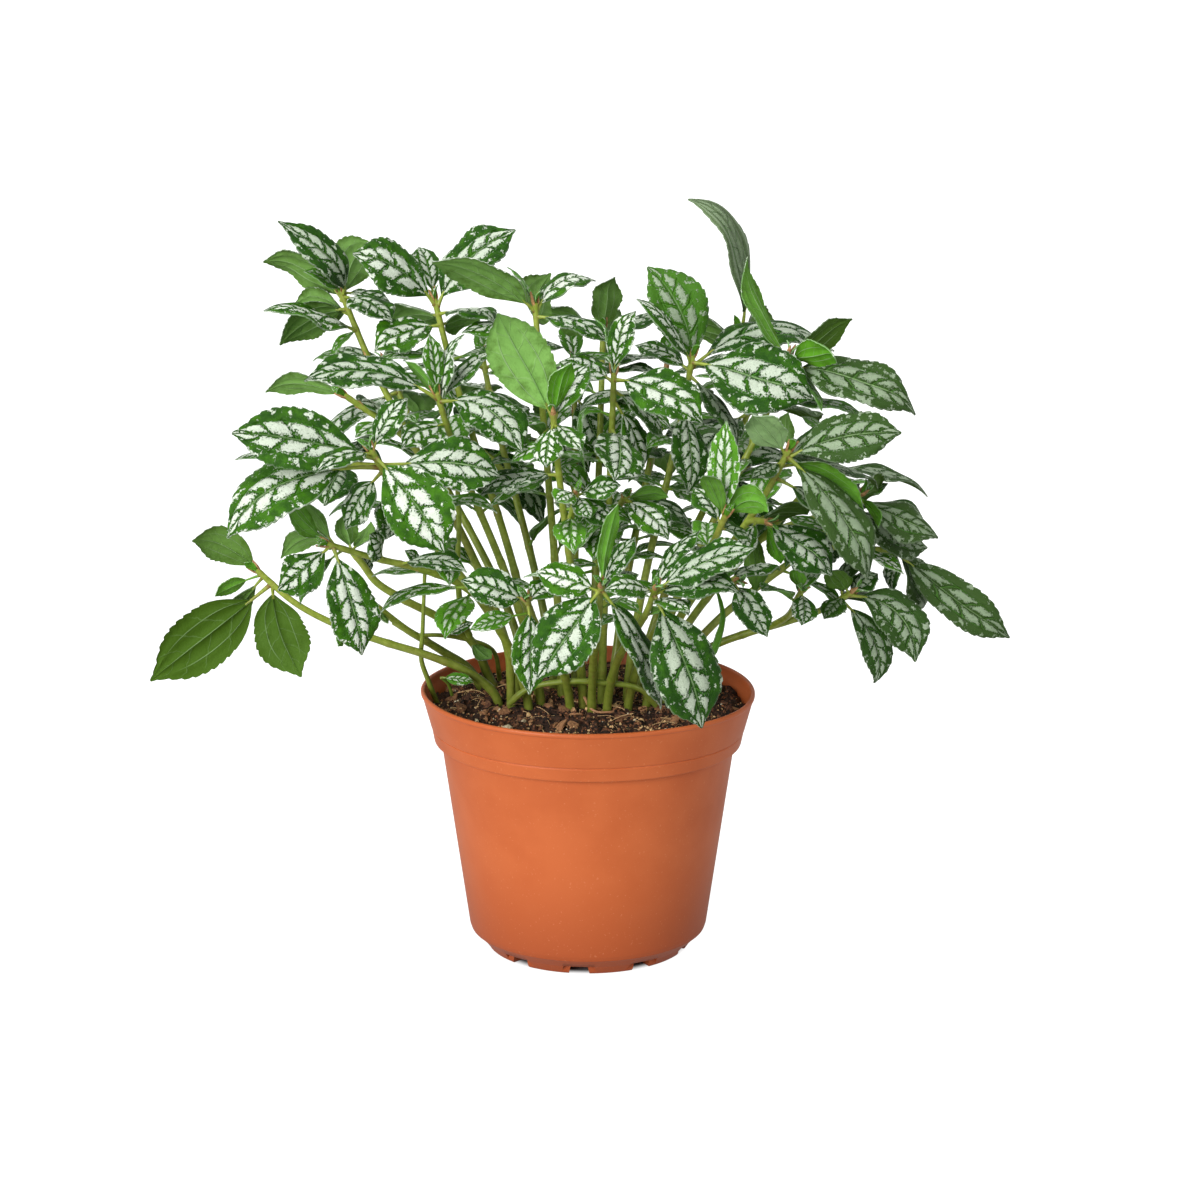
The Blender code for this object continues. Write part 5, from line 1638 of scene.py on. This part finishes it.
def soil_height(x, y, lumps):
    """Height of the soil's uneven top."""
    out = min(math.hypot(x, y) / (pot_radius(SOIL_EDGE_Z) - WALL), 1)
    level = SOIL_EDGE_Z + (SOIL_TOP_Z - SOIL_EDGE_Z) * (1 - out**2)
    broad = noise.noise(Vector((x, y, 0)) / HOLLOW_SIZE)
    clods = noise.noise(Vector((x, y, 3 * MM)) / CLOD_SIZE)
    grains = noise.noise(Vector((x, y, 6 * MM)) / GRAIN_SIZE)
    pits = min(clods + 0.15, 0) * 0.9
    return level + lumps * (0.55 * broad + 0.5 * clods + 0.45 * grains + pits)


def make_soil(sizes, finish):
    """The soil's body, whose top is a net of rings that is raised into clods."""
    floor = FLOOR_Z + FLOOR_THICKNESS + 0.4 * MM
    gap = WALL + 0.1 * MM
    profile = [(pot_radius(floor) - gap - 2 * MM, floor), (pot_radius(floor) - gap, floor + 2 * MM)]
    profile += [((radius - 0.1) * MM, height * MM) for radius, height in POT_INSIDE[:0:-1]]
    edge = pot_radius(SOIL_EDGE_Z) - gap
    rings = sizes.soil_rings
    profile += [(edge * (1 - 0.985 * ring / rings), SOIL_EDGE_Z) for ring in range(rings)]
    soil = turn_up("soil_body", profile, sizes.soil_sides)
    for vert in soil.data.vertices:
        if vert.co.z > SOIL_EDGE_Z - 0.1 * MM:
            vert.co.z = soil_height(vert.co.x, vert.co.y, sizes.soil_lumps)
    select_only(soil)
    values = soil.data.attributes.new("shade", "FLOAT", "POINT")
    values.data.foreach_set("value", [noise.noise(vert.co * 220) * 0.5 + 0.45 for vert in soil.data.vertices])
    return end_piece(soil, [finish], 180)


class Litter:
    """Gathers many small lumps, each a copy of one of a few forms, into one piece."""

    def __init__(self, count, draw, form, *values):
        self.forms = [form(draw, *values) for _ in range(count)]
        self.points, self.faces, self.shades = [], [], []
        self.count = 0

    def add(self, form, place, size, turn, shade):
        points, faces = self.forms[form]
        moved = (points * np.array(size)) @ np.array(turn.to_matrix()).T + np.array(place)
        self.points.append(moved)
        self.faces += [tuple(corner + self.count for corner in face) for face in faces]
        self.shades += [shade] * len(points)
        self.count += len(points)

    def piece(self, name, finish):
        marks = {"shade": self.shades}
        return new_piece(name, np.concatenate(self.points), self.faces, marks, LITTER_SHARP, [finish])


def lump(draw, jag):
    """A knobbly lump, modelled from a coarse ball."""
    deselect_all()
    bpy.ops.mesh.primitive_ico_sphere_add(subdivisions=1, radius=1)
    ball = bpy.context.object
    for vert in ball.data.vertices:
        vert.co = vert.co * draw.uniform(1 - jag, 1 + jag)
    return taken_form(ball)


def flake(draw):
    """A bevelled splinter of bark, modelled from a cube."""
    deselect_all()
    bpy.ops.mesh.primitive_cube_add(size=2)
    chip = begin_piece("chip")
    bpy.ops.mesh.bevel(offset=0.35, segments=1)
    bpy.ops.object.mode_set(mode="OBJECT")
    for vert in chip.data.vertices:
        narrow = 1 - 0.55 * max(vert.co.x, 0) * draw.uniform(0.6, 1.2)
        vert.co = Vector((vert.co.x, vert.co.y * narrow, vert.co.z)) * draw.uniform(0.85, 1.12)
    return taken_form(chip)


def fibre(draw):
    """A bent thread with three sides."""
    bend = draw.uniform(0.5, 1.4)
    sway = draw.uniform(-0.5, 0.5)
    points = []
    for ring in range(6):
        share = ring / 5 * 2 - 1
        rise = (1 - share * share) * 0.25 + sway * share**3 * 0.3
        middle = Vector((share, math.sin(share * bend) * 0.5, rise))
        for side in range(3):
            angle = math.tau * side / 3
            points.append(middle + Vector((0, math.cos(angle), math.sin(angle))) * FIBRE_RADIUS)
    return np.array(points), ring_faces(6, 3) + [(2, 1, 0), (15, 16, 17)]


def dry_scale(draw):
    """A dry curled scale, modelled from a small bent grid."""
    deselect_all()
    bpy.ops.mesh.primitive_grid_add(x_subdivisions=4, y_subdivisions=3, size=2)
    sheet = bpy.context.object
    bend, twist = draw.uniform(0.3, 0.8), draw.uniform(-0.4, 0.4)
    for vert in sheet.data.vertices:
        x, y = vert.co.x, vert.co.y * (1 - 0.6 * vert.co.x**2)
        vert.co = (x, y, bend * (1 - x * x) + (0.6 - bend) * y * y + twist * x * y)
    wall = sheet.modifiers.new("two faces", "SOLIDIFY")
    wall.thickness = 0.12
    apply_modifiers(sheet)
    return taken_form(sheet)


def make_root(name, points, radius, finish):
    """A bare root that lies on the soil, modelled as a curve and made into a mesh."""
    deselect_all()
    bpy.ops.curve.primitive_nurbs_path_add(radius=0.1, location=(0, 0, 0))
    root = bpy.context.object
    root.name = name
    line = root.data.splines[0].points
    line.add(len(points) - len(line))
    for index, (spot, place) in enumerate(zip(line, points)):
        spot.co = (*place, 1)
        spot.radius = 1 - 0.6 * index / len(points)
    root.data.bevel_depth = radius
    root.data.bevel_resolution = 2
    root.data.use_fill_caps = True
    bpy.ops.object.convert(target="MESH")
    root.data.materials.append(finish)
    root.data.shade_smooth()
    return root


def scatter(litter, count, draw, lumps, edge, size_range, flat, sink, shades=(0.0, 1.0), tilt=math.pi):
    """Drops lumps over the soil's top within a radius, each part sunk into it.

    size_range is in mm, flat is a lump's height as a share of its length, sink is how much of that height it
    stands up by, shades is the range of their shade, and tilt is how far they turn over.
    """
    small, large = (size * MM for size in size_range)
    dark, light = shades
    for _ in range(count):
        out = edge * math.sqrt(draw.random())
        angle = draw.uniform(0, math.tau)
        x, y = out * math.cos(angle), out * math.sin(angle)
        size = draw.uniform(small, large) * draw.uniform(0.6, 1)
        long, wide = size * draw.uniform(0.8, 1.3), size * draw.uniform(0.6, 1)
        scale = (long, wide, size * flat * draw.uniform(0.8, 1.2))
        roll, pitch = draw.uniform(-tilt, tilt) / 2, draw.uniform(-tilt, tilt) / 2
        turn = Euler((roll, pitch, draw.uniform(0, math.tau)))
        place = Vector((x, y, soil_height(x, y, lumps) + sink * scale[2]))
        patch = 0.9 * noise.noise(Vector((x, y, 9 * MM)) / (6 * MM))
        shade = min(max(draw.uniform(dark, light) + patch * (light - dark), dark), light)
        litter.add(draw.randrange(len(litter.forms)), place, scale, turn, shade)


def colour(name, text, default):
    return FloatVectorProperty(
        name=name, description=text, default=default, subtype="COLOR", size=3, min=0, max=1
    )


def place(name, text, default):
    return FloatVectorProperty(
        name=name, description=text, default=default, subtype="TRANSLATION", unit="LENGTH"
    )


def whole(name, text, default, low=0, high=100000):
    return IntProperty(name=name, description=text, default=default, min=low, max=high)


def length(name, text, default):
    return FloatProperty(name=name, description=text, default=default, unit="LENGTH")


def share(name, text, default, low=0, high=1):
    return FloatProperty(
        name=name, description=text, default=default, min=low, max=high, subtype="FACTOR"
    )


def strength(name, text, default):
    return FloatProperty(name=name, description=text, default=default, min=0)


class PotSizes(bpy.types.PropertyGroup):
    sides: whole("Sides", "Faces round the pot and its rim", 144, 24, 288)


class SoilSizes(bpy.types.PropertyGroup):
    soil_lumps: length("Lumps", "Height of the clods in the soil's top", 2.8 * MM)
    soil_sides: whole("Sides", "Faces round the soil", 220, 24, 400)
    soil_rings: whole("Rings", "Rings of the soil's top", 58, 8, 120)
    crumbs: whole("Crumbs", "Loose crumbs of peat", 4400)
    clods: whole("Clods", "Larger lumps of peat", 420)
    bark: whole("Bark", "Chips of bark", 170)
    perlite: whole("Perlite", "Grains of perlite", 110)
    dry_scales: whole("Dry scales", "Fallen scales between the stems", 46)
    fibres: whole("Fibres", "Threads of coir and root", 220)


class LeafSizes(bpy.types.PropertyGroup):
    blade_thickness: length("Thickness", "Thickness of a leaf's blade", 0.5 * MM)
    pad_rise: share("Pad rise", "Rise of the pads between the veins, in half-widths", 0.11, 0, 0.3)
    edge_droop: share("Edge droop", "How far a blade's edges hang, in half-widths", 0.1, -0.5, 1)
    tooth_depth: length("Tooth depth", "Depth of the shallow teeth at a large leaf's edge", 0.8 * MM)
    silver_share: share("Silver spots", "How much of the blade near its edge is spotted with silver", 0.5)
    inner_height: length("Inner leaves from", "Lowest height of the small leaves inside", 168 * MM)
    seed: whole("Seed", "Start of the drawing of small differences", 11)


class PlantColours(bpy.types.PropertyGroup):
    deep_green: colour("Deep green", "Darkest green of the upper faces", (0.014, 0.066, 0.002))
    mid_green: colour("Mid green", "Lighter green of the upper faces", (0.065, 0.22, 0.004))
    young_green: colour("Young green", "Green of young leaves and tips", (0.12, 0.36, 0.022))
    # Partly the dull leaves' own colour, partly a painted grey sheen and shade
    dull_green_and_sheen: colour("Dull green", "Greyish green of the dull leaves", (0.06, 0.11, 0.025))
    vein_green: colour("Vein green", "Green of the long veins", (0.1, 0.31, 0.04))
    # Silver is the lit copy of the patches' colour, and silver in painted shade its shaded copy
    silver: colour("Silver", "Raised patches of the upper faces", (0.88, 0.95, 0.82))
    silver_painted_shade: colour("Silver shade", "Darker parts of the silver patches", (0.26, 0.35, 0.21))
    rib_pale: colour("Rib pale", "Pale ribs of both faces", (0.38, 0.58, 0.26))
    under_green: colour("Underside green", "Greener parts of the undersides", (0.055, 0.12, 0.007))
    # Pale underside green, which leaves with a high tone take as painted light and sheen
    under_pale: colour("Underside pale", "Paler parts of the undersides", (0.26, 0.5, 0.125))
    stem: colour("Stem", "Olive of the stems", (0.22, 0.3, 0.025))
    stem_pale: colour("Stem pale", "Paler streaks of the stems", (0.37, 0.44, 0.07))
    # Stems near the soil: partly their own browner olive, partly painted shade from the leaves above
    stem_low_brown_and_shade: colour("Stem low", "Darker olive of the stems near the soil", (0.1, 0.12, 0.015))
    joint: colour("Joint", "Brown of the stems' joints", (0.2, 0.085, 0.03))
    scale: colour("Scale", "Reddish brown of the papery scales", (0.56, 0.33, 0.14))
    scale_dark: colour("Scale dark", "Darker parts of the papery scales", (0.32, 0.145, 0.05))
    plastic: colour("Plastic", "Terracotta colour of the pot", (0.58, 0.135, 0.037))
    plastic_deep: colour("Plastic deep", "Deeper parts of the pot's colour", (0.53, 0.115, 0.029))
    # Painted shade that darkens the pot towards its foot
    plastic_painted_shade: colour("Plastic low", "Darker colour of the pot near its foot", (0.36, 0.07, 0.018))
    plastic_speck: colour("Plastic specks", "Fine pale specks in the pot's colour", (0.8, 0.36, 0.18))
    soil: colour("Soil", "Dark peat", (0.011, 0.005, 0.003))
    soil_light: colour("Soil light", "Lighter grains of the peat", (0.08, 0.03, 0.015))
    crumb: colour("Crumb", "Dark side of the loose crumbs", (0.009, 0.004, 0.0025))
    crumb_light: colour("Crumb light", "Light side of the loose crumbs", (0.38, 0.15, 0.065))
    golden: colour("Golden", "Golden bits among the crumbs", (0.85, 0.55, 0.26))
    bark: colour("Bark", "Dark parts of the bark chips", (0.09, 0.032, 0.016))
    bark_light: colour("Bark light", "Light parts of the bark chips", (0.42, 0.2, 0.09))
    perlite: colour("Perlite", "Shaded parts of the perlite", (0.5, 0.38, 0.22))
    perlite_light: colour("Perlite light", "Bright parts of the perlite", (0.95, 0.82, 0.6))


class StageSizes(bpy.types.PropertyGroup):
    key_strength: strength("Key light", "Strength of the light at the left", 2.6)
    top_strength: strength("Top light", "Strength of the light above", 1.3)
    fill_strength: strength("Fill light", "Strength of the light at the right", 0.43)
    softness: FloatProperty(
        name="Softness", description="Width of the lights as seen from the plant", default=math.radians(35),
        subtype="ANGLE"
    )
    room_light: strength("Room light", "Strength of the room's own light", 0.43)
    floor_glow: strength("Floor glow", "Light that the pale floor gives by itself", 0.27)
    floor_white: strength("Floor white", "How much brighter the camera sees the floor", 0.76)
    contact: length("Contact shade", "Radius of the floor's dim ring under the pot", 41 * MM)
    lens: FloatProperty(
        name="Lens", description="Focal length of the camera, in millimetres", default=118.3, min=10
    )
    camera_place: place("Camera", "Where the camera stands", (0, -1.7268, 0.6282))
    aim: place("Aim", "The point that the camera looks at", (0.0055, 0, 0.1628))


# The soft lights: name, setting of the strength, and the place that each shines from
LIGHTS = (
    ("key light", "key_strength", (-1.0, -1.35, 0.55)),
    ("top light", "top_strength", (-0.3, -0.3, 1.5)),
    ("fill light", "fill_strength", (1.3, -1.2, 0.9)),
)
FLOOR_SIZE = 60
FLOOR_GREY = (0.22, 0.22, 0.22)
SENSOR_WIDTH = 36
SOIL_SEED = 5


def attach(piece, node=None):
    """Fixes a finished piece to the plant's body, in place of a solid where one is named."""
    if piece.matrix_world != Matrix.Identity(4):
        raise RuntimeError(f"{piece.name} isn't at the origin")
    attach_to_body(piece, "root")
    if node:
        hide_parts(node)


class PLANT_OT_pot(bpy.types.Operator):
    """Makes the moulded nursery pot"""
    bl_idname = "plant.pot"
    bl_label = "Nursery pot"

    def execute(self, context):
        colours = context.scene.plant_colours
        finish = pot_plastic(speckle_effect(), colours)
        attach(make_pot(context.scene.pot_sizes, finish), "pot")
        return {"FINISHED"}


class PLANT_OT_soil(bpy.types.Operator):
    """Makes the soil with its crumbs, bark and perlite"""
    bl_idname = "plant.soil"
    bl_label = "Potting soil"

    def execute(self, context):
        colours = context.scene.plant_colours
        sizes = context.scene.soil_sizes
        speckle = speckle_effect()
        draw = random.Random(SOIL_SEED)
        peat = crumbly("peat", speckle, colours.soil, colours.soil_light)
        attach(make_soil(sizes, peat), "soil")
        edge = pot_radius(SOIL_EDGE_Z) - WALL - 2 * MM
        lumps = sizes.soil_lumps
        crumbs = Litter(6, draw, lump, 0.25)
        scatter(crumbs, sizes.crumbs, draw, lumps, edge, (0.25, 1.0), 0.8, 0.2)
        scatter(crumbs, sizes.clods, draw, lumps, edge - 1 * MM, (1.1, 2.4), 0.8, 0.15, (0.0, 0.45))
        finish = crumbly("peat crumbs", speckle, colours.crumb, colours.crumb_light, accent=colours.golden)
        attach(crumbs.piece("soil_crumbs", finish))
        chips = Litter(5, draw, flake)
        scatter(chips, sizes.bark, draw, lumps, edge - 1 * MM, (1.0, 4.0), 0.25, 1.0, tilt=1.3)
        finish = crumbly("bark chips", speckle, colours.bark, colours.bark_light, 0.85)
        attach(chips.piece("soil_bark", finish))
        grains = Litter(5, draw, lump, 0.3)
        scatter(grains, sizes.perlite, draw, lumps, edge, (0.4, 1.0), 0.85, 0.5, (0.5, 1.0))
        for right, back, size in PEBBLES:
            x, y = right * MM, back * MM
            spot = Vector((x, y, soil_height(x, y, lumps) + size * 0.4 * MM))
            turn = Euler((draw.uniform(-0.5, 0.5), draw.uniform(-0.5, 0.5), draw.uniform(0, math.tau)))
            scale = (size * MM, size * 0.8 * MM, size * 0.6 * MM)
            grains.add(draw.randrange(len(grains.forms)), spot, scale, turn, 0.4)
        finish = crumbly("perlite grains", speckle, colours.perlite, colours.perlite_light, 0.9)
        attach(grains.piece("soil_perlite", finish))
        threads = Litter(6, draw, fibre)
        scatter(threads, sizes.fibres, draw, lumps, edge - 5 * MM, (2.5, 7), 1.0, 0.05, tilt=0.7)
        finish = crumbly("root threads", speckle, colours.bark, colours.golden, 0.8)
        attach(threads.piece("soil_threads", finish))
        root = [(right * MM, back * MM, up * MM) for right, back, up in LOOSE_ROOT]
        finish = crumbly("bare root", speckle, colours.bark_light, colours.perlite, 0.7, 1500.0, 0.2)
        attach(make_root("loose_root", root, 0.8 * MM, finish))
        fallen = Litter(5, draw, dry_scale)
        scatter(fallen, sizes.dry_scales, draw, lumps, 46 * MM, (1.8, 3.6), 0.9, 0.1)
        finish = crumbly("dry scales", speckle, colours.bark_light, colours.golden, 0.75)
        attach(fallen.piece("fallen_scales", finish))
        return {"FINISHED"}


class PLANT_OT_foliage(bpy.types.Operator):
    """Grows every leafy stem from the soil up"""
    bl_idname = "plant.foliage"
    bl_label = "Leafy stems"

    def execute(self, context):
        colours = context.scene.plant_colours
        sizes = context.scene.leaf_sizes
        veins = vein_effect()
        finishes = [
            upper_face(veins, colours, sizes.silver_share), under_face(veins, colours), stem_skin(colours),
            papery_scale(colours),
        ]
        forms = {size: LeafForm(*rows) for size, rows in FORMS.items()}
        plans, blades, placed = plan_plants()
        for number, (name, stems) in enumerate(plans.items()):
            draw = random.Random(sizes.seed * 1000 + number)
            growth = Growth()
            inner = []
            for path, radii, one, _ in stems:
                if one["leaves"] is None:
                    rows = [down * MM for _, down, *_ in BACK_LEAVES]
                else:
                    rows = [row["down"] * MM for row in one["leaves"]]
                joints = shoot_joints(rows, path_length(path), draw)
                lower = [joint for joint in joints if joint not in rows]
                inner += inner_leaves(placed, name, path, lower, sizes, draw)
                grow_stem(growth, path, radii, joints)
                grow_tip(growth, forms, path, sizes, draw)
            for index, blade in enumerate(blades[name] + inner):
                wide, middling = blade.width >= LARGE_WIDTH * MM, blade.width >= MEDIUM_WIDTH * MM
                form = "large" if wide else "medium" if middling else "small"
                youth = (YOUNG_FROM - blade.width) / YOUNG_SPAN + draw.uniform(0, 0.25)
                youth = max(0.0, min(1.0, youth))
                # Tone by place is painted light and shade, with some tone that differs at random
                tone = tone_from_painted_light(blade) + draw.uniform(-0.18, 0.18)
                # Leaves inside are painted brighter against the shade there, and the listed leaves take their
                # given youth and tone
                if index >= len(blades[name]):
                    youth, tone = inner_look_painted_light(index)
                youth, tone = TONES.get((name, index), (youth, tone))
                if (name, index) in TURNED:
                    blade.normal = side_normal((blade.tip - blade.root).normalized(), TURNED[name, index])
                grow_leaf(growth, forms[form], blade, sizes, draw, youth, tone)
            for shoot_row in SIDE_SHOOTS.get(name, ()):
                grow_side_shoot(growth, forms, placed, name, shoot_row, sizes, draw)
            for path, *_ in stems:
                for joint in scaly_joints(path, draw):
                    grow_scales(growth, *joint, draw, 0.7)
            node = "leafy_stem_" + name
            attach(growth.piece(node + "_grown", finishes), node)
        return {"FINISHED"}


def floor_finish(sizes):
    """A pale floor that glows a little, more so to the camera, and is dim right under the pot."""
    finish, tree, shader = new_finish("pale floor", 0.9, FLOOR_GREY)
    far = add_node(tree, "VectorMath", {0: object_place(tree)}, operation="LENGTH").outputs["Value"]
    open_floor = Signal(tree, far).rise(sizes.contact, sizes.contact * 1.17)
    seen_by_camera = Signal(tree, add_node(tree, "LightPath").outputs["Is Camera Ray"])
    glow = (seen_by_camera * sizes.floor_white + sizes.floor_glow) * open_floor
    shader.inputs["Emission Color"].default_value = (1, 1, 1, 1)
    tree.links.new(glow.socket, shader.inputs["Emission Strength"])
    return finish


class PLANT_OT_stage(bpy.types.Operator):
    """Sets up the pale floor, the soft lights and the camera"""
    bl_idname = "plant.stage"
    bl_label = "Floor, lights and camera"

    def execute(self, context):
        sizes = context.scene.stage_sizes
        deselect_all()
        bpy.ops.mesh.primitive_plane_add(size=FLOOR_SIZE)
        floor = bpy.context.object
        floor.name = "pale_floor"
        floor.data.materials.append(floor_finish(sizes))
        world = bpy.data.worlds.new("pale room")
        world.use_nodes = True
        room = world.node_tree.nodes["Background"].inputs
        room["Color"].default_value = (1, 1, 1, 1)
        room["Strength"].default_value = sizes.room_light
        context.scene.world = world
        for name, setting, origin in LIGHTS:
            bpy.ops.object.light_add(type="SUN", location=origin)
            light = bpy.context.object
            light.name = name
            light.data.energy = getattr(sizes, setting)
            light.data.angle = sizes.softness
            light.rotation_euler = (-Vector(origin)).to_track_quat("-Z", "Y").to_euler()
        bpy.ops.object.camera_add(location=sizes.camera_place)
        camera = bpy.context.object
        camera.name = "front camera"
        camera.data.lens = sizes.lens
        camera.data.sensor_width = SENSOR_WIDTH
        way = Vector(sizes.aim) - Vector(sizes.camera_place)
        camera.rotation_euler = way.to_track_quat("-Z", "Y").to_euler()
        context.scene.camera = camera
        context.scene.view_settings.view_transform = "Standard"
        return {"FINISHED"}


class PLANT_PT_parts(bpy.types.Panel):
    """Lists the plant's parts and their settings"""
    bl_label = "Potted aluminum plant"
    bl_space_type = "VIEW_3D"
    bl_region_type = "UI"
    bl_category = "Plant"

    def draw(self, context):
        parts = (
            (PLANT_OT_pot, "pot_sizes"), (PLANT_OT_soil, "soil_sizes"), (PLANT_OT_foliage, "leaf_sizes"),
            (PLANT_OT_stage, "stage_sizes"),
        )
        for operator, settings in parts:
            box = self.layout.box()
            box.operator(operator.bl_idname)
            group = getattr(context.scene, settings)
            for name in group.__annotations__:
                box.prop(group, name)
        box = self.layout.box()
        box.label(text="Colours")
        for name in PlantColours.__annotations__:
            box.prop(context.scene.plant_colours, name)


SETTINGS = {
    "pot_sizes": PotSizes, "soil_sizes": SoilSizes, "leaf_sizes": LeafSizes, "plant_colours": PlantColours,
    "stage_sizes": StageSizes,
}
CLASSES = (
    *SETTINGS.values(), PLANT_OT_pot, PLANT_OT_soil, PLANT_OT_foliage, PLANT_OT_stage, PLANT_PT_parts,
)


def register():
    for made in CLASSES:
        bpy.utils.register_class(made)
    for name, group in SETTINGS.items():
        setattr(bpy.types.Scene, name, PointerProperty(type=group))


def unregister():
    for name in SETTINGS:
        delattr(bpy.types.Scene, name)
    for made in reversed(CLASSES):
        bpy.utils.unregister_class(made)


def main():
    register()
    bpy.ops.plant.stage()
    bpy.ops.plant.pot()
    bpy.ops.plant.soil()
    bpy.ops.plant.foliage()
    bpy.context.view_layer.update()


if __name__ == "__main__":
    main()
